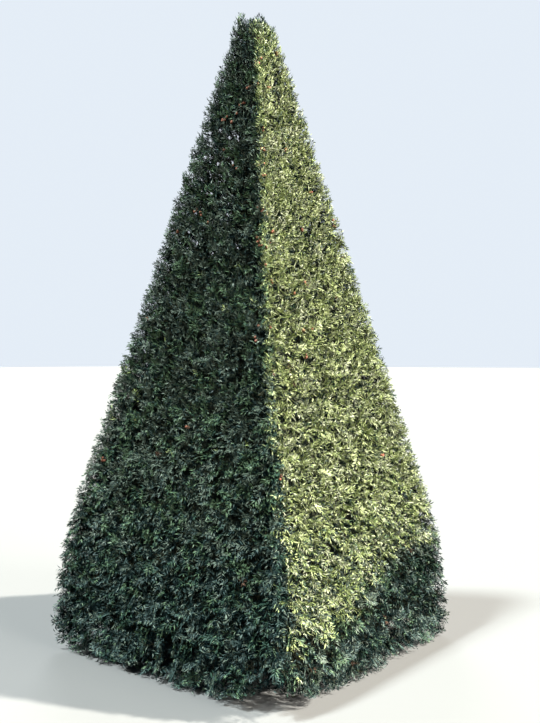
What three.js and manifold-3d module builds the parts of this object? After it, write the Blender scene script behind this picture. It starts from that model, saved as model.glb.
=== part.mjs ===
// A yew tree clipped to a four-sided pyramid, growing in the ground.
// One trunk runs up through the crown. Three tiers of boughs leave it, one to each corner of the pyramid,
// and each bough carries one mass of foliage: a corner of the clipped shell. A thirteenth mass is the tip.
// Between trunk and shell the tree is bare, as a clipped yew is: only its outer shell stays green.
// Millimetres, Z up. The origin is the middle of the flat cut under the trunk, at ground level.
import * as THREE from 'three';
import { mergeVertices } from 'three/addons/utils/BufferGeometryUtils.js';
import Module from 'manifold-3d';

const wasm = await Module();
wasm.setup();

// The clipped outline
const HEIGHT = 3450; // ground to the topmost shoots
const TOP_HALF = 56; // half the side of the blunt top
const FACE_LEAN = 0.236; // how far a face draws in for each millimetre of height
const SHOULDER = 800; // below this height a face curves until it stands upright
const SKIRT = 100; // height at which it is upright
const TUCK_HEIGHT = 220; // below this height the skirt draws in again
const TUCK = 45; // by this much at the ground
const ARRIS_ROUND = 0.07; // radius of an arris, as a share of the half side
const RIPPLE = { depth: 9, high: 170, wide: 150, fade: 300 }; // unevenness that the shears leave

// The shell
const SPRAY_DEPTH = 56; // from the core's face out to the clipped surface
const SPRAY_DEPTH_SHARE = 0.42; // but no more than this share of the half side
const SHELL = 190; // from the clipped surface in to the bare inside
const TIER_EDGES = [75, 960, 1800, 2560]; // heights of the joints between tiers, on the core's face
const TIER_SLANT = 0.7; // a joint between tiers climbs outwards, as the twigs do
const CLEAR = 0.35; // half the gap kept between neighbouring solids
const CORE_TOP = 3392; // top of the tip's core
const CORE_GRID = { out: 1, across: 8, up: 5 }; // facets of a core
const CORE_RELIEF = 18; // depth of the hollows in a core's face
const CORE_BEVEL = 20; // how far a core's arris is cut back
const NOTCH_RISE = 90; // the skirt lifts off the ground at the front right corner
const NOTCH_REACH = 240; // over this distance to each side

// The trunk and boughs
const TRUNK_TOP = 3240;
const TRUNK_RADIUS = 74; // above the root flare
const TRUNK_TIP_RADIUS = 6;
const FLARE = 52; // how much wider the trunk is at the ground
const FLARE_HEIGHT = 150;
const FLUTES = 5; // ribs that run down into the roots
const FLUTE_DEPTH = 0.13; // as a share of the radius, at the ground
const FLUTE_LEAST = 0.04; // and above the flare
const FLUTE_HEIGHT = 1200; // over which they fade
const TRUNK_SWAY = 16; // how far the leader wanders from plumb
const TRUNK_GRID = { sides: 18, rings: 13 };
const BOUGH_GRID = { sides: 7, rings: 5 };
const BOUGH_TIP_SHARE = 0.55; // radius at a bough's tip, as a share of its base
const BOUGH_SWELL = { share: 0.5, fade: 9 }; // extra at its base, and how soon it fades
const BOUGH_LAG = 34; // in each tier the boughs leave the trunk one above another
const BOUGH_ASIDE = 16; // how far their tips swing to either side
const STEM_LENGTH = 70; // a mass's own stem, between bough and core
const STEM_SINK = 60; // how far it runs into the core
const STEM_TIP_SHARE = 0.4;

// A spray is one toothed blade, rooted in the core
const BLADE = { length: 235, width: 150, thick: 10 };
const BLADE_SINK = 36; // how far its root lies in the core
const BLADE_EDGE = [[0.4, 0.95], [0.4, 0.42], [0.74, 0.72]]; // one edge: shares of length and half width
const BLADE_MIDDLE = 0.36; // the thickest place, as a share of its length
const LIFT = 0.32; // radians between a spray and the clipped face
const HEADING_SPREAD = 1.9; // sprays point up the face, give or take half of this
const ARRIS_HEADING = 0.5; // those at an arris lean to it by this much more
const ARRIS_TURN = 0.7; // and face this much round it
const ARRIS_SPACING = 165; // an extra row of sprays runs up each arris
const ARRIS_ASIDE = 24; // its sprays stand to either side in turn
const ROLL_SPREAD = 0.5;
const FRINGE = { height: 165, spacing: 140, lift: 0.05, heading: 2.7 }; // sprays that hang over the ground
const LEAST_HEIGHT = 9; // nothing hangs lower than this
const FACE_PER_SPRAY = 0.0285e6; // square millimetres of face for each spray
const TIP_SPRAYS = { count: 34, foot: 40, low: 0.72, high: 0.43 }; // the sizes of the lowest and the highest
const TUFT = { size: 0.3, x: 18, y: 12 }; // two sprays stand up from the blunt top, this far from its middle
const SIZES_TRIED = [1, 0.82, 0.66, 0.5];
const BERRY_EVERY = 9; // one spray in so many carries a fruit
const BERRY_RADIUS = 8;
const LEAST_DETAIL = 0.3; // joined solids drop edges shorter than this

// A corner's group is turned so that the corner lies between +X and +Y
const CORNERS = [
  { name: 'front_right', turn: -Math.PI / 2 },
  { name: 'back_right', turn: 0 },
  { name: 'back_left', turn: Math.PI / 2 },
  { name: 'front_left', turn: Math.PI },
];
// Each tier's bough: the height where it leaves the trunk, the height of its tip and its radius
const TIERS = [
  { name: 'lower', from: 230, to: 500, radius: 25 },
  { name: 'middle', from: 1060, to: 1300, radius: 20 },
  { name: 'upper', from: 1920, to: 2080, radius: 14 },
];
const UP = new THREE.Vector3(0, 0, 1);

const bark = new THREE.MeshStandardMaterial({ color: 0x6d4a38, roughness: 0.9, metalness: 0 });
const foliage = new THREE.MeshStandardMaterial({ color: 0x35502c, roughness: 0.6, metalness: 0 });

// An even, endless spread of places: the first few are as even as the first thousand
const PLACE_STEP = [0.7548776662466927, 0.5698402909980532];
const place = (i, axis) => (0.5 + (i + 1) * PLACE_STEP[axis]) % 1;

// A number from 0 to 1 that depends only on a seed and on what it is for
function chance(seed, purpose) {
  const wave = Math.sin(seed * 12.9898 + purpose * 37.719) * 43758.5453;
  return wave - Math.floor(wave);
}
const HEADING = 1;
const ROLL = 2;
const DENT = 3;

const mix = THREE.MathUtils.lerp;

// Half the side of the clipped pyramid at a height
function halfSide(z) {
  const straight = (height) => TOP_HALF + FACE_LEAN * (HEIGHT - height);
  if (z >= SHOULDER) return straight(z);
  const bend = SHOULDER - SKIRT;
  const above = Math.max(z - SKIRT, 0);
  const rounded = straight(SHOULDER) + FACE_LEAN * (bend / 2 - (above * above) / (2 * bend));
  const under = Math.max(TUCK_HEIGHT - z, 0) / TUCK_HEIGHT;
  return rounded - TUCK * under * under;
}

// The depth of the sprays and of the whole shell shrink where the pyramid is slim
const sprayDepth = (z) => Math.min(SPRAY_DEPTH, SPRAY_DEPTH_SHARE * halfSide(z));
const coreOut = (z) => halfSide(z) - sprayDepth(z);
const coreIn = (z) => halfSide(z) - SHELL;

// How far a point lies outside the clipped surface; negative inside it
function outside(p) {
  const onFirst = Math.abs(p.x) > Math.abs(p.y);
  const along = onFirst ? p.y : p.x;
  const phase = onFirst ? 0 : 2;
  const wave = RIPPLE.depth * Math.sin(p.z / RIPPLE.high + phase) * Math.sin(along / RIPPLE.wide + phase / 2);
  const half = halfSide(p.z) + wave * Math.min(1, halfSide(p.z) / RIPPLE.fade);
  const round = ARRIS_ROUND * half;
  const x = Math.abs(p.x) - half + round;
  const y = Math.abs(p.y) - half + round;
  const level = Math.hypot(Math.max(x, 0), Math.max(y, 0)) + Math.min(Math.max(x, y), 0) - round;
  return Math.max(level, p.z - HEIGHT);
}

// How far the skirt is lifted, this far from the front right corner
const notch = (distance) => NOTCH_RISE * Math.exp(-((distance / NOTCH_REACH) ** 2));

function toSolid(geometry) {
  const bare = geometry.clone();
  bare.deleteAttribute('normal');
  bare.deleteAttribute('uv');
  const merged = mergeVertices(bare, 1e-3);
  return new wasm.Manifold(new wasm.Mesh({
    numProp: 3,
    vertProperties: new Float32Array(merged.attributes.position.array),
    triVerts: new Uint32Array(merged.index.array),
  }));
}

function toGeometry(solid) {
  const { vertProperties, triVerts } = solid.getMesh();
  const geometry = new THREE.BufferGeometry();
  geometry.setAttribute('position', new THREE.BufferAttribute(vertProperties, 3));
  geometry.setIndex(new THREE.BufferAttribute(triVerts, 1));
  geometry.computeVertexNormals();
  return geometry;
}

// The largest body of a solid: fills sealed hollows and drops loose scraps
const mainBody = (solid) => solid.decompose().reduce((a, b) => (b.volume() > a.volume() ? b : a));

// Moves every vertex of a geometry to where the function says
function reshape(geometry, where) {
  const { position } = geometry.attributes;
  const p = new THREE.Vector3();
  for (let i = 0; i < position.count; i++) {
    where(p.fromBufferAttribute(position, i));
    position.setXYZ(i, p.x, p.y, p.z);
  }
  return geometry;
}

// A limb: a cylinder bent along a curve. radius(share, angle) gives its section there
function limb(curve, radius, sides, rings) {
  const rod = new THREE.CylinderGeometry(1, 1, 1, sides, rings);
  return reshape(rod, (p) => {
    const share = p.y + 0.5;
    const angle = Math.atan2(p.z, p.x);
    const size = Math.hypot(p.x, p.z) < 0.5 ? 0 : radius(share, angle);
    const along = curve.getTangentAt(share);
    // A level limb takes its section from plumb, and an upright one from the X axis
    const guide = Math.abs(along.z) > 0.8 ? new THREE.Vector3(1, 0, 0) : new THREE.Vector3(0, 0, 1);
    const across = guide.clone().cross(along).normalize();
    const third = along.clone().cross(across);
    const at = curve.getPointAt(share);
    p.copy(at).addScaledVector(third, size * Math.cos(angle)).addScaledVector(across, size * Math.sin(angle));
  });
}

// The leader wanders a little from plumb, and starts and ends on the axis
function trunkAxis(z) {
  const share = z / TRUNK_TOP;
  const ease = Math.sin(Math.PI * Math.min(share, 1));
  return new THREE.Vector3(
    TRUNK_SWAY * ease * Math.sin(share * 7),
    TRUNK_SWAY * ease * Math.cos(share * 6 + 1),
    z,
  );
}

function trunkRadius(z, angle) {
  const taper = mix(TRUNK_RADIUS, TRUNK_TIP_RADIUS, (z / TRUNK_TOP) ** 0.85);
  const foot = Math.exp(-z / FLARE_HEIGHT);
  const flute = mix(FLUTE_LEAST, FLUTE_DEPTH, foot) * Math.exp(-z / FLUTE_HEIGHT);
  return (taper + FLARE * foot) * (1 + flute * Math.cos(FLUTES * angle));
}

// grow widens the trunk, to cut its neighbours clear of it
function trunkSolid(grow) {
  const rod = new THREE.CylinderGeometry(1, 1, 1, TRUNK_GRID.sides, TRUNK_GRID.rings);
  return reshape(rod, (p) => {
    const share = p.y + 0.5;
    const z = TRUNK_TOP * share ** 1.6 + (share > 0.5 ? grow : 0);
    const angle = Math.atan2(-p.z, p.x);
    const radius = Math.hypot(p.x, p.z) < 0.5 ? 0 : trunkRadius(Math.min(z, TRUNK_TOP), angle) + grow;
    const axis = trunkAxis(Math.min(z, TRUNK_TOP));
    p.set(axis.x + radius * Math.cos(angle), axis.y + radius * Math.sin(angle), z);
  });
}

// The path of a bough, in its corner's frame, from the trunk's axis towards the corner
function boughCurve(corner, tier, number) {
  const lag = BOUGH_LAG * (number - (CORNERS.length - 1) / 2);
  const start = trunkAxis(tier.from + lag).applyAxisAngle(UP, -corner.turn);
  const reach = coreIn(tier.to) - STEM_LENGTH * Math.SQRT1_2;
  const aside = BOUGH_ASIDE * Math.sin(number * 2.4 + tier.to);
  const end = new THREE.Vector3(reach + aside, reach - aside, tier.to);
  const middle = start.clone().lerp(end, 0.5);
  middle.z = mix(start.z, end.z, 0.3);
  return new THREE.QuadraticBezierCurve3(start, middle, end);
}

// A bough swells where it leaves the trunk, and is cut to the trunk's surface
function bough(curve, tier, trunkHole) {
  const swell = (share) => BOUGH_SWELL.share * Math.exp(-share * BOUGH_SWELL.fade);
  const radius = (share) => tier.radius * (mix(1, BOUGH_TIP_SHARE, share) + swell(share));
  return mainBody(toSolid(limb(curve, radius, BOUGH_GRID.sides, BOUGH_GRID.rings)).subtract(trunkHole));
}

// The stem of a mass takes over from its bough's tip and runs into the core
function stem(curve, tier) {
  const tip = curve.getPointAt(1);
  const along = curve.getTangentAt(1);
  const start = tip.clone().addScaledVector(along, CLEAR);
  const end = tip.clone().addScaledVector(along, STEM_LENGTH + STEM_SINK);
  const radius = (share) => tier.radius * mix(BOUGH_TIP_SHARE, STEM_TIP_SHARE, share);
  return toSolid(limb(new THREE.LineCurve3(start, end), radius, BOUGH_GRID.sides, 1));
}

// The core of a corner's mass. Across it runs round the corner, from the middle of one face to the middle
// of the next; its ends, top and foot lie against its neighbours', at half the gap
function cornerCore(low, high, number, isFoot) {
  const box = new THREE.BoxGeometry(1, 1, 1, CORE_GRID.out, CORE_GRID.across, CORE_GRID.up);
  return reshape(box, (p) => {
    const out = p.x + 0.5;
    const across = 2 * p.y;
    const up = p.z + 0.5;
    const z = mix(low + CLEAR, high - CLEAR, up);
    const depth = mix(coreIn(z), coreOut(z), out);
    const isRim = up === 0 || up === 1 || Math.abs(across) === 1 || across === 0;
    const dent = isRim ? 0 : CORE_RELIEF * chance(across * CORE_GRID.across + 10 * up + 100 * number, DENT);
    const bevel = across === 0 ? CORE_BEVEL : 0;
    const d = depth - out * (dent + bevel);
    const along = Math.max(depth * (1 - Math.abs(across)), CLEAR) - (across === 0 ? out * bevel : 0);
    const slant = TIER_SLANT * (isFoot ? up : 1) * (d - coreOut(z));
    const rise = isFoot && number === 0 ? notch(across * depth) * (1 - up) ** 2 : 0;
    if (across <= 0) p.set(d, along, z + slant + rise);
    else p.set(along, d, z + slant + rise);
  });
}

// The tip's core is a small pyramid whose hollow foot sits on the upper tier
function tipCore(low) {
  const box = new THREE.BoxGeometry(1, 1, 1, 2, 2, 4);
  return reshape(box, (p) => {
    const across = Math.max(Math.abs(p.x), Math.abs(p.y)) * 2;
    const up = p.z + 0.5;
    const z = mix(low + CLEAR, CORE_TOP, up);
    const d = coreOut(z);
    p.set(2 * p.x * d, 2 * p.y * d, z + TIER_SLANT * (1 - up) * (across - 1) * d);
  });
}

// A toothed blade: its rim is the outline, and its two poles give the thickness.
// It lies along +X in the XY plane, with its root at the origin
function bladeGeometry(size) {
  const half = BLADE_EDGE.map(([x, y]) => [x * BLADE.length * size, (y * BLADE.width * size) / 2]);
  const back = half.map(([x, y]) => [x, -y]).reverse();
  const rim = [[0, 0], ...half, [BLADE.length * size, 0], ...back];
  const star = new THREE.SphereGeometry(1, rim.length, 2);
  return reshape(star, (p) => {
    if (Math.abs(p.y) > 0.5) {
      p.set(BLADE.length * size * BLADE_MIDDLE, 0, (BLADE.thick / 2) * size * Math.sign(p.y));
      return;
    }
    const turn = Math.round((Math.atan2(p.z, -p.x) / (2 * Math.PI)) * rim.length);
    const [x, y] = rim[(turn + rim.length) % rim.length];
    p.set(x, -y, 0);
  });
}

// The pieces of one spray, with its root below the origin
function sprayPieces(size, withBerry) {
  const pieces = [bladeGeometry(size).translate(-BLADE_SINK * size, 0, 0)];
  if (withBerry) {
    const berry = new THREE.OctahedronGeometry(BERRY_RADIUS);
    pieces.push(berry.translate(BLADE.length * BLADE_MIDDLE * size, BERRY_RADIUS, BERRY_RADIUS * 0.6));
  }
  return pieces;
}

// Which way a spray grows from its root, in the frame of a face that looks along +X.
// edge is 0 in the middle of the face and 1 or -1 at an arris
function sprayMatrix(root, edge, seed, hangs) {
  const slope = Math.atan(hangs ? 0 : FACE_LEAN);
  const cornering = Math.sign(edge) * edge ** 4;
  const out = new THREE.Vector3(Math.cos(slope), 0, Math.sin(slope)).applyAxisAngle(UP, cornering * ARRIS_TURN);
  const across = UP.clone().cross(out).normalize();
  const up = out.clone().cross(across);
  const free = chance(seed, HEADING) - 0.5;
  const heading = hangs
    ? Math.sign(free) * (FRINGE.heading + Math.abs(free))
    : free * HEADING_SPREAD + cornering * ARRIS_HEADING;
  const lift = hangs ? FRINGE.lift : LIFT;
  const inFace = up.multiplyScalar(Math.cos(heading)).addScaledVector(across, Math.sin(heading));
  const along = inFace.clone().multiplyScalar(Math.cos(lift)).addScaledVector(out, Math.sin(lift));
  const top = out.clone().multiplyScalar(Math.cos(lift)).addScaledVector(inFace, -Math.sin(lift));
  top.applyAxisAngle(along, (chance(seed, ROLL) - 0.5) * ROLL_SPREAD);
  return new THREE.Matrix4().makeBasis(along, top.clone().cross(along), top).setPosition(root);
}

// A spray as large as fits its space, or nothing where even the smallest doesn't fit
function spray(matrix, size, withBerry, fits) {
  const p = new THREE.Vector3();
  for (const tried of SIZES_TRIED) {
    const pieces = sprayPieces(size * tried, withBerry).map((piece) => piece.applyMatrix4(matrix));
    const inside = pieces.every(({ attributes: { position } }) => {
      for (let k = 0; k < position.count; k++) {
        if (!fits(p.fromBufferAttribute(position, k))) return false;
      }
      return true;
    });
    if (inside) return pieces.map(toSolid);
  }
  return [];
}

// How far a point is above the joint between tiers at this height
const overJoint = (p, height) => {
  const depth = Math.max(Math.abs(p.x), Math.abs(p.y));
  return p.z - height - TIER_SLANT * (depth - coreOut(height));
};

// One corner's mass: core, stem and sprays, joined
function cornerMass(low, high, number, tierNumber, curve) {
  const isFoot = tierNumber === 0;
  const isNotched = isFoot && number === 0;
  const fits = (p) => {
    const aside = Math.abs(p.x - p.y); // distance from the corner, along the faces
    const ground = LEAST_HEIGHT + (isNotched ? notch(aside) : 0);
    const overFoot = isFoot ? p.z > ground : overJoint(p, low) > CLEAR;
    return overFoot && overJoint(p, high) < -CLEAR && p.x > CLEAR && p.y > CLEAR && outside(p) < 0;
  };
  const parts = [toSolid(cornerCore(low, high, number, isFoot)), stem(curve, TIERS[tierNumber])];
  const seedStart = 1000 * (number + CORNERS.length * tierNumber);
  // span runs from the middle of one face, round the corner at 0, to the middle of the next
  const grow = (z, span, seed, hangs) => {
    const y = coreOut(z) - Math.abs(span);
    if (y < 0) return;
    const side = span > 0 ? -1 : 1; // the corner is on the left of the first face and on the right of the next
    const root = new THREE.Vector3(coreOut(z) - CORE_RELIEF / 2, side * y, z);
    const matrix = sprayMatrix(root, (side * y) / coreOut(z), seedStart + seed, hangs);
    if (span > 0) matrix.premultiply(new THREE.Matrix4().makeRotationZ(Math.PI / 2));
    parts.push(...spray(matrix, 1, seed % BERRY_EVERY === 2, fits));
  };
  const wide = coreOut(low);
  const count = Math.round(((high - low) * 2 * wide) / FACE_PER_SPRAY); // two half faces
  for (let i = 0; i < count; i++) {
    grow(mix(low, high, place(i, 0)), wide * (2 * place(i, 1) - 1), i, false);
  }
  const arrisCount = Math.floor((high - low) / ARRIS_SPACING);
  for (let i = 0; i < arrisCount; i++) {
    grow(low + ARRIS_SPACING * (i + 0.5), ARRIS_ASIDE * (i % 2 ? 1 : -1), count + i, false);
  }
  const fringeCount = isFoot ? Math.floor((2 * wide) / FRINGE.spacing) : 0;
  for (let i = 0; i < fringeCount; i++) {
    const span = FRINGE.spacing * (i + 0.5) - wide;
    grow(FRINGE.height + (isNotched ? NOTCH_RISE / 2 : 0), span, count + arrisCount + i, true);
  }
  return mainBody(wasm.Manifold.union(parts).simplify(LEAST_DETAIL));
}

// The tip: sprays go round all four faces, and two small tufts stand up from the blunt top
function tipMass(low, trunkHole) {
  const fits = (p) => overJoint(p, low) > CLEAR && outside(p) < 0;
  const parts = [toSolid(tipCore(low)).subtract(trunkHole)];
  for (let i = 0; i < TIP_SPRAYS.count; i++) {
    const share = place(i, 0) ** 1.3; // the lower part is wider, so it takes more of them
    const z = mix(low + TIP_SPRAYS.foot, CORE_TOP, share);
    const turns = 4 * place(i, 1); // how many quarters round the tree
    const edge = 2 * (turns % 1) - 1;
    const root = new THREE.Vector3(coreOut(z), edge * coreOut(z), z);
    const matrix = sprayMatrix(root, edge, i, false);
    matrix.premultiply(new THREE.Matrix4().makeRotationZ(Math.floor(turns) * (Math.PI / 2)));
    const size = mix(TIP_SPRAYS.low, TIP_SPRAYS.high, share);
    parts.push(...spray(matrix, size, i % BERRY_EVERY === 2, fits));
  }
  for (const way of [-1, 1]) {
    const upright = new THREE.Matrix4().makeRotationY(-Math.PI / 2);
    upright.setPosition(way * TUFT.x, way * TUFT.y, CORE_TOP);
    parts.push(...spray(upright, TUFT.size, false, (p) => p.z < HEIGHT));
  }
  return mainBody(wasm.Manifold.union(parts).simplify(LEAST_DETAIL));
}

function named(name, geometry, material) {
  const mesh = new THREE.Mesh(geometry, material);
  mesh.name = name;
  return mesh;
}

const tree = new THREE.Group();
tree.add(named('trunk', trunkSolid(0), bark));

CORNERS.forEach((corner, number) => {
  const group = new THREE.Group();
  group.rotation.z = corner.turn;
  const trunkHole = toSolid(trunkSolid(CLEAR).rotateZ(-corner.turn));
  TIERS.forEach((tier, tierNumber) => {
    const curve = boughCurve(corner, tier, number);
    const [low, high] = TIER_EDGES.slice(tierNumber, tierNumber + 2);
    const boughSolid = bough(curve, tier, trunkHole);
    const massSolid = cornerMass(low, high, number, tierNumber, curve);
    group.add(named(`bough_${corner.name}_${tier.name}`, toGeometry(boughSolid), bark));
    group.add(named(`foliage_${corner.name}_${tier.name}`, toGeometry(massSolid), foliage));
  });
  tree.add(group);
});

const tipSolid = tipMass(TIER_EDGES.at(-1), toSolid(trunkSolid(CLEAR)));
tree.add(named('foliage_tip', toGeometry(tipSolid), foliage));

export default tree;
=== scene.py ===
# %% [markdown]
# # A yew clipped to a four-sided pyramid
# The frame holds the trunk, twelve boughs and thirteen masses of foliage as plain solids.
# Here each of them gets the look of the real tree: flaky bark on the limbs, a web of twigs,
# and nearly half a million needles in sprays, cut off where the shears passed.

# %% Load the frame
import math

import bpy
import numpy as np
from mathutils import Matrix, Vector
from mathutils.kdtree import KDTree


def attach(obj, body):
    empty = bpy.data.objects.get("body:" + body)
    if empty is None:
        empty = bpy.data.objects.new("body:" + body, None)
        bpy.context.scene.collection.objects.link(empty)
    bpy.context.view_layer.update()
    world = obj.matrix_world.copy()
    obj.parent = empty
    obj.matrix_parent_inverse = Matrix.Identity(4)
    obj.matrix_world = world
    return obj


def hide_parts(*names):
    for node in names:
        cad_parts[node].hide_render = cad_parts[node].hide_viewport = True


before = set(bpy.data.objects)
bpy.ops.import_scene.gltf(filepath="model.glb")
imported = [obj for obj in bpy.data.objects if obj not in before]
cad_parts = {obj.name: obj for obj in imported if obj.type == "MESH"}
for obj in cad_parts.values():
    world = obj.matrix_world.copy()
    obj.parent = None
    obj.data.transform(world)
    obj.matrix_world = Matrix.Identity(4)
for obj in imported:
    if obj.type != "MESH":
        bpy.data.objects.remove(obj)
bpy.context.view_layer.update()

print("CAD nodes", len(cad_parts))

# %% [markdown]
# ## The clipped outline
# The outline is a formula, the same one that the solids follow, in metres: a straight face
# above the shoulder, and below it a curve that ends upright at the skirt and tucks in a little
# at the ground. Everything that grows is placed by its depth under that surface.

# %% Half the side at a height
HEIGHT = 3.45
TOP_HALF = 0.056
FACE_LEAN = 0.236
SHOULDER = 0.8
SKIRT = 0.1
TUCK_HEIGHT = 0.22
TUCK = 0.045


def half_side(z):
    """Half the side of the clipped pyramid at a height. Works on numbers and arrays."""
    z = np.asarray(z, float)
    straight = TOP_HALF + FACE_LEAN * (HEIGHT - z)
    bend = SHOULDER - SKIRT
    above = np.maximum(z - SKIRT, 0)
    at_shoulder = TOP_HALF + FACE_LEAN * (HEIGHT - SHOULDER)
    rounded = at_shoulder + FACE_LEAN * (bend / 2 - above**2 / (2 * bend))
    under = np.maximum(TUCK_HEIGHT - z, 0) / TUCK_HEIGHT
    return np.where(z >= SHOULDER, straight, rounded - TUCK * under**2)


for height in (TUCK_HEIGHT, SHOULDER, HEIGHT):
    print("side at", height, "is", round(2 * float(half_side(height)), 3))

# %% [markdown]
# ## Shader maths as expressions
# A material is a small program. Wrapping a socket in a class lets it be written as one:
# adding or multiplying two values places the Math node that does it. A second class stands
# for the whole material, and one method of it places any other node.

# %% A socket that adds and multiplies


class Value:
    """A socket's output, on which + and * make Math nodes."""

    def __init__(self, finish, socket):
        self.finish = finish
        self.socket = socket

    def math(self, operation, other):
        """Places a Math node on this value and another, and gives its result."""
        node = self.finish.node("ShaderNodeMath", {"operation": operation}, {0: self, 1: other})
        return node["Value"]

    def __add__(self, other):
        return self.math("ADD", other)

    def __mul__(self, other):
        return self.math("MULTIPLY", other)

    __radd__ = __add__
    __rmul__ = __mul__


print("operators", [name for name in vars(Value) if name.endswith(("add__", "mul__"))])

# %% A material and its nodes


class Finish:
    """A material whose nodes are placed by one method."""

    def __init__(self, name, colour, roughness, gloss=0.1):
        self.material = bpy.data.materials.new(name)
        self.material.use_nodes = True
        self.material.diffuse_color = (*colour, 1)
        self.tree = self.material.node_tree
        self.shader = self.tree.nodes["Principled BSDF"]
        self.set(self.shader, "Base Color", (*colour, 1))
        self.set(self.shader, "Roughness", roughness)
        self.set(self.shader, "Specular IOR Level", gloss)

    def set(self, node, name, value):
        """Links a value to a node's socket, or sets the socket to a number or a colour."""
        socket = node.inputs[name]
        if isinstance(value, Value):
            self.tree.links.new(value.socket, socket)
        else:
            socket.default_value = value

    def node(self, kind, settings, inputs):
        """Adds a node and gives its outputs by name."""
        node = self.tree.nodes.new(kind)
        for key, setting in settings.items():
            if key == "stops":
                self.stops(node.color_ramp, setting)
            else:
                setattr(node, key, setting)
        for name, value in inputs.items():
            self.set(node, name, value)
        return {out.name: Value(self, out) for out in node.outputs if out.enabled}

    def stops(self, ramp, stops):
        """Gives a colour ramp its stops, each a position and a colour."""
        while len(ramp.elements) < len(stops):
            ramp.elements.new(0.5)
        for element, (position, colour) in zip(ramp.elements, stops):
            element.position = position
            element.color = (*colour, 1)

    def noise(self, scale, detail, stretch=(1, 1, 1)):
        """A noise on Object coordinates, which are stretched by a scale for each axis."""
        where = self.node("ShaderNodeTexCoord", {}, {})["Object"]
        placed = self.node("ShaderNodeMapping", {}, {"Vector": where, "Scale": stretch})
        inputs = {"Vector": placed["Vector"], "Scale": scale, "Detail": detail}
        return self.node("ShaderNodeTexNoise", {}, inputs)["Fac"]


print("methods", [name for name in vars(Finish) if not name.startswith("_")])

# %% [markdown]
# ## Bark and dead wood
# Yew bark is reddish brown and flakes off in long thin strips, so its pattern is a noise that
# is stretched along the trunk. The bare inside of a clipped yew is a tangle of dead twigs that
# next to no light reaches, and a noise of browns and greens is enough, painted near black as
# painted shade. In both of them the height of the relief also gives the colour, dark in its depths.

# %% Bark
FLAKES = {"scale": 26, "detail": 6, "stretch": (1, 1, 0.22)}
PATCHES = {"scale": 5, "detail": 3}
FLAKE_SHARE = 0.75
PATCH_SHARE = 0.35
BARK_STOPS = [
    (0.30, (0.045, 0.024, 0.018)),
    (0.52, (0.135, 0.068, 0.045)),
    (0.75, (0.250, 0.165, 0.125)),
]
BARK_BUMP = {"Strength": 0.55, "Distance": 0.006}


def colour_by_relief(finish, height, stops, bump):
    """Colours a finish by the height of its relief, and raises the relief as a bump."""
    ramp = finish.node("ShaderNodeValToRGB", {"stops": stops}, {"Fac": height})
    finish.set(finish.shader, "Base Color", ramp["Color"])
    raised = finish.node("ShaderNodeBump", {}, {"Height": height, **bump})
    finish.set(finish.shader, "Normal", raised["Normal"])


def bark_finish():
    """Long flakes, over larger patches that are lighter or darker."""
    bark = Finish("yew bark", (0.12, 0.065, 0.045), roughness=0.88)
    flakes = bark.noise(**FLAKES)
    patches = bark.noise(**PATCHES)
    height = flakes * FLAKE_SHARE + patches * PATCH_SHARE
    colour_by_relief(bark, height, BARK_STOPS, BARK_BUMP)
    return bark.material


BARK = bark_finish()
print("finish", BARK.name, "with", len(BARK.node_tree.nodes), "nodes")

# %% Dead wood and young twigs
TANGLE = {"scale": 70, "detail": 5}
# near black: painted shade on the tangle of dead twigs
SHADED_TANGLE_STOPS = [
    (0.35, (0.003, 0.004, 0.003)),
    (0.60, (0.012, 0.017, 0.010)),
    (0.80, (0.030, 0.024, 0.016)),
]
TANGLE_BUMP = {"Strength": 0.8, "Distance": 0.01}


def core_finish():
    """A fine tangle, painted near black as painted shade."""
    core = Finish("shaded inside", (0.012, 0.014, 0.009), roughness=0.95)
    colour_by_relief(core, core.noise(**TANGLE), SHADED_TANGLE_STOPS, TANGLE_BUMP)
    return core.material


CORE = core_finish()
TWIG = Finish("young twig", (0.036, 0.036, 0.020), roughness=0.7).material
print("finishes", CORE.name, "and", TWIG.name)

# %% [markdown]
# ## Needles
# One green would make a plastic tree. A yew's needles run from a deep blue green to the year's
# own green, and their undersides are paler. So there are several plain greens, and each spray is
# dealt one of them: lighter, yellower copies are painted sunlight, and a near black one is
# painted shade. Two of them have a livelier twin, for patches that are greener but no lighter.

# %% Finishes of the needles: colour, roughness and gloss
GREENS = {
    # near black: painted shade for the gaps, the inside and low down
    "needles deep shade": ((0.004, 0.012, 0.012), 0.60, 0.05),
    "needles dark": ((0.043, 0.074, 0.067), 0.50, 0.18),
    "needles middle": ((0.111, 0.147, 0.109), 0.50, 0.26),
    # fresh lit and sunlit are lit copies of the greens: painted sunlight on the sunny face
    "needles fresh lit": ((0.296, 0.366, 0.134), 0.46, 0.36),
    "needles sunlit": ((0.358, 0.402, 0.190), 0.47, 0.28),
    # pale: partly the undersides, partly painted highlights
    "needles pale": ((0.380, 0.406, 0.272), 0.50, 0.24),
    "needles dead": ((0.110, 0.066, 0.046), 0.80, 0.05),
    "needles mossy": ((0.036, 0.077, 0.054), 0.50, 0.18),
    "needles grassy": ((0.094, 0.155, 0.082), 0.50, 0.26),
}
NEEDLES = [Finish(name, *settings).material for name, settings in GREENS.items()]
DEEP_SHADE, DARK, MIDDLE, FRESH_LIT, SUNLIT, PALE, DEAD, MOSSY, GRASSY = range(len(NEEDLES))
print("needle finishes", len(NEEDLES))

# %% [markdown]
# ## Trunk and boughs
# A limb could be a curve with a bevel, but then its section is one circle all the way. Here it
# is modelled as by hand: a filled circle at the foot, extruded ring by ring along the limb's
# path, each ring scaled to the limb's thickness there. Subdivision rounds it, and a Displace
# modifier with a cloudy texture raises the flakes of the bark.

# %% Selecting by hand, in code


def deselect_all():
    """Leaves nothing selected, since an operator acts on all that is."""
    bpy.ops.object.select_all(action="DESELECT")


def select_only(piece):
    """Selects one piece and makes it the active one."""
    deselect_all()
    piece.select_set(True)
    bpy.context.view_layer.objects.active = piece


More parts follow.
